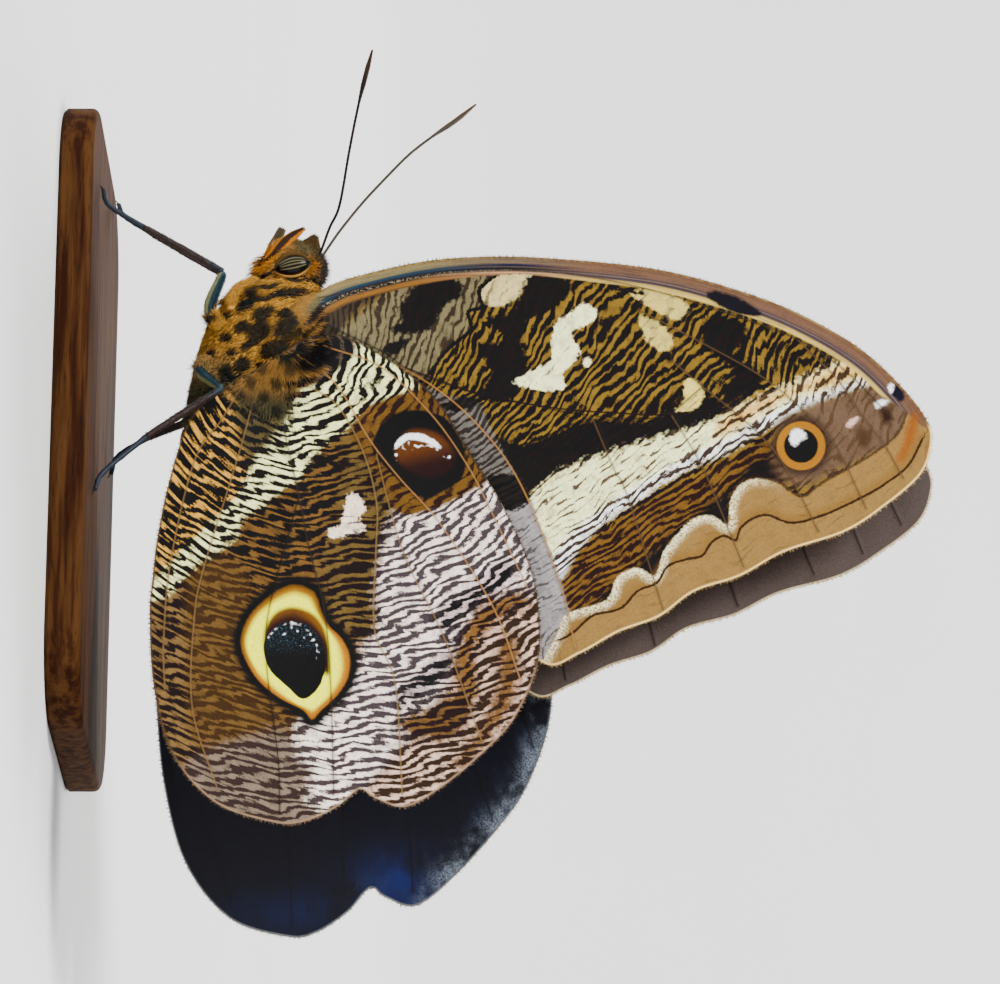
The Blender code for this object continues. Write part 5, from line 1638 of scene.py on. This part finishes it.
def build_brow(grid, hair):
    """The pointed tuft of the forehead."""
    def keep(middle):
        return (middle[..., 0] > 24.0) & (middle[..., 2] > 27.0) & (np.abs(middle[..., 1]) < 1.9)

    roots, normals, uv = scatter(grid, TUFTS["brow"], keep)
    gap = np.array(BROW_TIP) - roots
    ways = unit(gap) + 0.06 * random.normal(size=gap.shape)
    sizes = np.linalg.norm(gap, axis=1) * random.uniform(0.6, 1.02, len(gap))
    tones = turned(random.random((len(gap), 1)), colour((66, 48, 30)), colour((128, 92, 44)))
    widths = np.full(len(gap), 0.05)
    placed(tufts("brow_tuft", roots, normals, ways, sizes, widths, tones, uv, hair, 0.06), "body")


def build_crown(grid, hair):
    """Short pale-tipped hair behind the antennae."""
    def keep(middle):
        return between(20.6, 24.6)(middle) * (middle[..., 2] > 28.4)

    roots, normals, uv = scatter(grid, TUFTS["crown"], keep)
    ways = 0.9 * normals + np.array((-0.3, 0.0, 0.2)) + 0.25 * random.normal(size=roots.shape)
    sizes = random.uniform(0.6, 1.15, len(roots))
    tones = np.tile(colour((62, 56, 50)), (len(roots), 1))
    widths = np.full(len(roots), 0.028)
    placed(tufts("crown_tuft", roots, normals, ways, sizes, widths, tones, uv, hair, 0.1, 5.0), "body")


def eye_place(points):
    """Where points lie in the eye's own frame: across its bands, and along them from -1 to 1."""
    x, z = points[..., 0] - EYE_CENTRE[0], points[..., 2] - EYE_CENTRE[2]
    c, s = math.cos(EYE_TILT), math.sin(EYE_TILT)
    return (x * c - z * s) / EYE_HALF_WIDTH, (x * s + z * c) / EYE_HALF_LENGTH


def lens_width(along):
    """The lens's half width along it, pointed at both ends."""
    return np.clip(1 - along ** 2, 0, 1) ** 0.8


def eye_points(across, along, out):
    """The reverse: points in millimetres from places in the eye's frame, out along Y."""
    c, s = math.cos(EYE_TILT), math.sin(EYE_TILT)
    a, b = across * EYE_HALF_WIDTH, along * EYE_HALF_LENGTH
    x, y, z = EYE_CENTRE
    return np.stack([x + a * c + b * s, y + out * EYE_BULGE, z - a * s + b * c], axis=-1)


def build_eyes():
    """Each eye is a glossy lens with pointed ends, between a pale lower lid and a brown upper one."""
    gloss = eye_paint()
    lid = tinted_paint("eye_lid", 0.7, 0.2, 6.0)
    rings, sides = 44, 56
    angles = 2 * math.pi * np.arange(sides) / sides
    along, angle = np.meshgrid(np.linspace(-0.995, 0.995, rings), angles, indexing="ij")
    width = lens_width(along)
    across = width * np.cos(angle)
    out = width ** 0.7 * np.sin(angle)
    shape = eye_points(across, along, out).reshape(-1, 3)
    place = (across / width).ravel()
    band = 0.5 - 0.5 * np.cos(2 * math.pi * place / EYE_BAND)
    band *= step_up(0.66 - np.abs(place), 0, 0.06) * step_up(0.86 - np.abs(along.ravel()), 0, 0.2)
    ring = step_up(np.abs(place), 0.8, 0.9)
    for word, side in SIDES:
        mirror = np.array((1, side, 1))
        faces = ring_faces(rings, sides)
        globe = new_object("eye_%s_globe" % word, shape * mirror, faces, gloss, band=band, ring=ring)
        placed(globe, "eyes", "eye_" + word)
        for part, edge, thick, tone, back_tone in LIDS:
            t = np.linspace(-1, 1, 30)
            path = eye_points(edge * 1.03 * lens_width(t), t, 0.42 * lens_width(t)) * mirror
            sizes = 0.05 + thick * lens_width(t) ** 0.6 * (1 - 0.35 * t)
            rim, rim_faces, _ = tube(path, sizes, 12)
            fade = np.repeat(step_up(t, 0.3, 1.0), 12)[:, None]
            tint = turned(fade, colour(tone), colour(back_tone))
            placed(new_object("eye_%s_%s_lid" % (word, part), rim, rim_faces, lid, tint=tint), "eyes")


def tube_coat(name, points, verts, sides, count, sizes, width, tones, material, lift=0.05, spread=0.08):
    """Fine scales that lie along a tube, towards its tip."""
    pick = random.integers(sides, len(verts) - 2 * sides, count)
    ring = pick // sides
    ahead = unit(points[np.minimum(ring + 1, len(points) - 1)] - points[ring])
    normals = unit(verts[pick] - points[ring])
    beside = (verts[pick + 1] - verts[pick]) * ((pick + 1) % sides > 0)[:, None]
    roots = verts[pick] + 0.5 * random.random((count, 1)) * beside
    roots += random.uniform(-0.08, 0.08, (count, 1)) * ahead
    ways = ahead + spread * random.normal(size=(count, 3))
    uv = UV_EDGE + UV_SPAN * np.stack([ring / len(points), (pick % sides) / sides], axis=1)
    lengths = random.uniform(*sizes, count)
    held = tones[pick] * random.uniform(0.8, 1.2, (count, 1))
    return tufts(name, roots, normals, ways, lengths, np.full(count, width), held, uv, material, lift)


def build_palps(hair):
    """Flattened palps with orange edges and a dark band down the middle; the far one is greyer."""
    finish = tinted_paint("palp_scales", 0.75, 0.2, 5.0)
    sides = 28
    for (word, side), (path, radii, edge_tone, face_tone) in zip(SIDES, PALPS):
        points = smooth_path(path, 0.12) * np.array((1, side, 1))
        verts, faces, angles = tube(points, sizes_along(points, radii), sides, 0.75)
        edge = step_up(np.abs(np.sin(angles)), 0.5, 0.75)[:, None]
        tone = turned(edge, colour(face_tone), colour(edge_tone))
        placed(new_object("palp_%s_core" % word, verts, faces, finish, tint=tone), "palps", "palp_" + word)
        name, count = "palp_%s_coat" % word, TUFTS["palp"]
        item = tube_coat(name, points, verts, sides, count, (0.3, 0.6), 0.03, tone, hair)
        placed(item, "palps")


def coil_path():
    """The coiled tongue's middle line, from the inside out."""
    t = np.linspace(0, 1, 90)
    radius = COIL_RADII[0] + (COIL_RADII[1] - COIL_RADII[0]) * t
    angle = math.radians(150) - 2 * math.pi * COIL_TURNS * (1 - t)
    x, z = COIL_CENTRE
    return np.stack([x + radius * np.cos(angle), np.zeros(len(t)), z + radius * np.sin(angle)], axis=1)


def build_feelers():
    """Both antennae, ringed and clubbed, and the coiled tongue."""
    finish = tinted_paint("feeler_cuticle", 0.45, 0.12, 6.0, 0.15)
    sides = 10
    radii = [ANTENNA_RADIUS * 1.25] + [ANTENNA_RADIUS] * 9 + [ANTENNA_CLUB, ANTENNA_CLUB, 0.14]
    tones = (44, 22, 20), (74, 60, 38)
    for (word, side), path, tone in zip(SIDES, (ANTENNA_LEFT, ANTENNA_RIGHT), tones):
        points = smooth_path(path, FEELER_STEP) * np.array((1, side, 1))
        beat = 0.5 + 0.5 * np.cos(2 * math.pi * np.arange(len(points)) * FEELER_STEP / FEELER_RING)
        verts, faces, _ = tube(points, sizes_along(points, radii) * (1 - 0.12 * beat), sides)
        shade = np.repeat(1 - 0.35 * beat, sides)[:, None]
        club = np.repeat(step_up(np.arange(len(points)) / len(points), 0.84, 0.9), sides)[:, None]
        tint = turned(0.5 * club, colour(tone), colour((96, 58, 30))) * shade
        item = new_object("antenna_%s_rings" % word, verts, faces, finish, tint=tint)
        placed(item, "antennae", "antenna_" + word)
    points = coil_path()
    sizes = COIL_THICKNESS * (1 - 0.06 * (np.arange(len(points)) % 2))
    verts, faces, _ = tube(points, sizes, 12)
    tint = np.tile(colour((104, 68, 38)), (len(verts), 1))
    placed(new_object("proboscis_coil", verts, faces, finish, tint=tint), "proboscis", "proboscis")


def merged(parts):
    """One list of points, faces and tints from several."""
    verts, faces, tints, count = [], [], [], 0
    for part_verts, part_faces, tint in parts:
        verts.append(part_verts)
        faces += [tuple(v + count for v in face) for face in part_faces]
        tints.append(np.broadcast_to(tint, (len(part_verts), 3)))
        count += len(part_verts)
    return np.vstack(verts), faces, np.vstack(tints)


def spine(root, way, length, radius, tone, sides):
    """One thin pointed bristle or claw, kept above the base."""
    way = np.array(way) / np.linalg.norm(way)
    path = [root, root + 0.5 * length * way, root + length * way]
    verts, faces, _ = tube(path, (radius, 0.7 * radius, 0.08 * radius), sides)
    verts[:, 2] = np.maximum(verts[:, 2], FLOOR - 0.25)
    return verts, faces, colour(tone)


def spines(points, sizes, rows, step, length, lean, tone):
    """Rows of short bristles along a limb, leaning towards its tip."""
    made = []
    for row in range(rows):
        turn = 2 * math.pi * row / rows + 0.4
        for i in range(2 + row % 2, len(points) - 2, step):
            ahead = points[i + 1] - points[i - 1]
            ahead = ahead / np.linalg.norm(ahead)
            side = np.cross((0, 0, 1), ahead)
            side /= np.linalg.norm(side)
            out = math.cos(turn) * side + math.sin(turn) * np.cross(ahead, side)
            reach = length * random.uniform(0.7, 1.2)
            made.append(spine(points[i] + 0.8 * sizes[i] * out, out + lean * ahead, reach, 0.045, tone, 4))
    return made


def limb(points, radii, side_tone, edge_tone, knobs=()):
    """A limb's own tube with a pale line along one side. Knobs are its joints, as shares of its length."""
    sizes = sizes_along(points, radii)
    share = np.linspace(0, 1, len(points))
    for knob in knobs:
        sizes = sizes * (1 + 0.16 * np.exp(-((share - knob) / 0.035) ** 2))
    verts, faces, angles = tube(points, sizes, LIMB_SIDES)
    line = step_up(np.cos(angles + 1.1), 0.5, 0.85)[:, None]
    return verts, faces, turned(line, colour(side_tone), colour(edge_tone))


def limb_coat(name, points, radii, count, side_tone, edge_tone, hair):
    """Narrow scales that lie along a limb, with its own pale line."""
    verts, _, tones = limb(points, radii, side_tone, edge_tone)
    return tube_coat(name, points, verts, LIMB_SIDES, count, (0.25, 0.6), 0.03, tones, hair, 0.12, 0.14)


def fork(root, way, back, lead, spread, drop, length, radius, tone):
    """Two spurs or claws side by side, a little back from the end of a limb that runs along the way."""
    way = np.array(way) / np.linalg.norm(way)
    flat = np.cross((0, 0, 1), way)
    flat /= np.linalg.norm(flat)
    root = np.array(root) - back * way
    ahead = lead * way - np.array((0, 0, drop))
    return [spine(root, ahead + side * spread * flat, length, radius, tone, 8) for side in (1, -1)]


def place_limb(name, part, slot, pieces, finish):
    """Joins a limb's pieces to one mesh that stands for its solid."""
    verts, faces, tint = merged(pieces)
    item = new_object("%s_%s_scaled" % (name, part), verts, faces, finish, tint=tint)
    placed(item, slot, name + "_" + part)


def build_femur(name, path, finish, hair):
    """The thigh with its bristles and scales, and body hair over its root."""
    sizes = sizes_along(path, FEMUR_RADII)
    pieces = [limb(path, FEMUR_RADII, *FEMUR_TONES)]
    pieces += spines(path, sizes, rows=5, step=2, length=0.3, lean=1.8, tone=(70, 74, 66))
    place_limb(name, "femur", "femora", pieces, finish)
    item = limb_coat(name + "_femur_coat", path, FEMUR_RADII, TUFTS["femur"], *FEMUR_TONES, hair)
    placed(item, "femora")
    top = path[: int(HIP_SHARE * len(path))]
    verts, _, _ = tube(top, sizes[: len(top)], LIMB_SIDES)
    tones = body_tone(verts)
    item = tube_coat(name + "_hip_coat", top, verts, LIMB_SIDES, TUFTS["hip"], (0.7, 1.4), 0.045, tones, hair,
                     0.22, 0.35)
    placed(item, "femora")


def build_tibia(name, path, finish, hair):
    """The shin, bluish next to the knee, with its bristles, two spurs and scales."""
    verts, faces, tones = limb(path, TIBIA_RADII, *TIBIA_TONES)
    near = np.repeat(step_up(0.3 - np.linspace(0, 1, len(path)), 0, 0.3), LIMB_SIDES)[:, None]
    pieces = [(verts, faces, turned(near, tones, colour((44, 62, 72))))]
    sizes = sizes_along(path, TIBIA_RADII)
    pieces += spines(path, sizes, rows=7, step=2, length=0.45, lean=1.5, tone=(48, 36, 34))
    pieces += fork(path[-1], path[-1] - path[0], back=1.1, lead=0.8, spread=0.6, drop=0.0,
                   length=1.5, radius=0.16, tone=(50, 36, 32))
    place_limb(name, "tibia", "tibiae", pieces, finish)
    item = limb_coat(name + "_tibia_coat", path, TIBIA_RADII, TUFTS["tibia"], *TIBIA_COAT_TONES, hair)
    placed(item, "tibiae")


def build_tarsus(name, ankle, heel, toe, finish):
    """The foot, knotted at its joints, with bristles and two claws."""
    path = smooth_path([ankle, heel, toe], 0.25)
    path[:, 2] = np.maximum(path[:, 2], toe[2])
    pieces = [limb(path, TARSUS_RADII, *TARSUS_TONES, TARSUS_KNOBS)]
    sizes = sizes_along(path, TARSUS_RADII)
    pieces += spines(path, sizes, rows=3, step=3, length=0.28, lean=1.6, tone=(36, 30, 32))
    pieces += fork(toe, np.array(toe) - np.array(heel), back=0.2, lead=0.85, spread=0.5, drop=0.3,
                   length=0.9, radius=0.13, tone=(26, 20, 18))
    place_limb(name, "tarsus", "tarsi", pieces, finish)


def build_foreleg(word, side, finish, hair):
    """The folded foreleg, buried in hair of the body's own colours."""
    sides = 14
    points = smooth_path(FORELEG, 0.3) * np.array((1, side, 1))
    verts, faces, _ = tube(points, sizes_along(points, FORELEG_RADII), sides)
    tones = body_tone(verts)
    name = "foreleg_" + word
    placed(new_object(name + "_scaled", verts, faces, finish, tint=tones), "body", name)
    item = tube_coat(name + "_coat", points, verts, sides, TUFTS["foreleg"], (0.5, 1.0), 0.04, tones, hair,
                     0.2, 0.2)
    placed(item, "body")


def build_legs(hair):
    """The four walking legs and the two folded forelegs."""
    finish = tinted_paint("leg_scales", 0.5, 0.22, 6.0, 0.18)
    for name, (hip, bend, knee, ankle, heel, toe) in LEGS.items():
        build_femur(name, smooth_path([hip, bend, knee], 0.35), finish, hair)
        half = tuple((np.array(knee) + ankle) / 2)
        build_tibia(name, smooth_path([knee, half, ankle], 0.35), finish, hair)
        build_tarsus(name, ankle, heel, toe, finish)
    for word, side in SIDES:
        build_foreleg(word, side, finish, hair)


def build_base():
    """The wooden base, with rounded corners and a soft upper edge."""
    verts = []
    levels = [(0.0, 0.4), (0.4, 0.0), (BASE_HEIGHT - BASE_BEVEL, 0.0)]
    levels += [(BASE_HEIGHT - BASE_BEVEL * (1 - math.sin(t)), BASE_BEVEL * (1 - math.cos(t)))
               for t in np.linspace(0.2, math.pi / 2, 6)]
    corners = ((1, 1, 0), (-1, 1, 90), (-1, -1, 180), (1, -1, 270))
    steps = 16
    for z, inset in levels:
        radius = BASE_CORNER - inset
        for sx, sy, first in corners:
            x, y = sx * (BASE_LENGTH / 2 - BASE_CORNER), sy * (BASE_WIDTH / 2 - BASE_CORNER)
            for angle in np.radians(first + 90 * np.arange(steps + 1) / steps):
                verts.append((x + radius * math.cos(angle), y + radius * math.sin(angle), z))
    faces = ring_faces(len(levels), len(corners) * (steps + 1))
    placed(new_object("stand_base_wood", verts, faces, wood_paint(), sharp=35), "base", "stand_base")


# Stage

def build_stage():
    """A wide pale floor that curves up far behind the object on every side, and soft lights."""
    paint = Paint("floor_paper", 0.9)
    cloud = paint.noise(paint.place(), 0.01, 2.0)
    floor_paint = paint.finish(paint.mix(cloud, (0.78, 0.78, 0.77), (0.82, 0.82, 0.81)))
    profile = [(20.0, 0.0), (400.0, 0.0), (FLOOR_FLAT, 0.0)]
    profile += [(FLOOR_FLAT + FLOOR_CURVE * math.sin(t), FLOOR_CURVE * (1 - math.cos(t)))
                for t in np.linspace(0.1, math.pi / 2, 16)]
    sides = 96
    angles = [2 * math.pi * k / sides for k in range(sides)]
    verts = [(r * math.cos(angle), r * math.sin(angle), z - 0.02) for r, z in profile for angle in angles]
    faces = ring_faces(len(profile), sides, caps=False) + [tuple(range(sides))]
    floor = new_object("floor", verts, faces, floor_paint)
    world = bpy.data.worlds.new("studio")
    world.use_nodes = True
    sky = world.node_tree.nodes["Background"]
    sky.inputs[0].default_value = (0.95, 0.97, 1.0, 1.0)
    sky.inputs[1].default_value = WORLD_LIGHT
    bpy.context.scene.world = world
    for name, way, strength, width in LAMPS:
        light = bpy.data.lights.new(name, "SUN")
        light.energy = strength
        light.angle = math.radians(width)
        item = bpy.data.objects.new(name, light)
        bpy.context.scene.collection.objects.link(item)
        item.rotation_euler = Vector(way).to_track_quat("Z", "Y").to_euler()


def build_camera():
    """The camera, which looks at the insect as the picture does."""
    right, up, back = camera_axes()
    data = bpy.data.cameras.new("camera")
    data.sensor_fit = "HORIZONTAL"
    data.angle = 2 * math.atan(FRAME_SIZE[0] / 2 * PIXEL / CAMERA_DISTANCE)
    data.clip_start = 0.01
    data.clip_end = 50.0
    item = bpy.data.objects.new("camera", data)
    bpy.context.scene.collection.objects.link(item)
    spot = (np.array(CAMERA_TARGET) + CAMERA_DISTANCE * back) * MM
    rows = [(right[i], up[i], back[i], spot[i]) for i in range(3)]
    item.matrix_world = Matrix(rows + [(0, 0, 0, 1)])
    bpy.context.scene.camera = item


def main():
    """The solids are read first; then come the camera, the pieces and the stage."""
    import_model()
    build_camera()
    hair = tinted_paint("coat_hair", 0.75, 0.15, 3.0)
    build_wings(hair)
    build_body(hair)
    build_eyes()
    build_palps(hair)
    build_feelers()
    build_legs(hair)
    build_base()
    build_stage()


main()
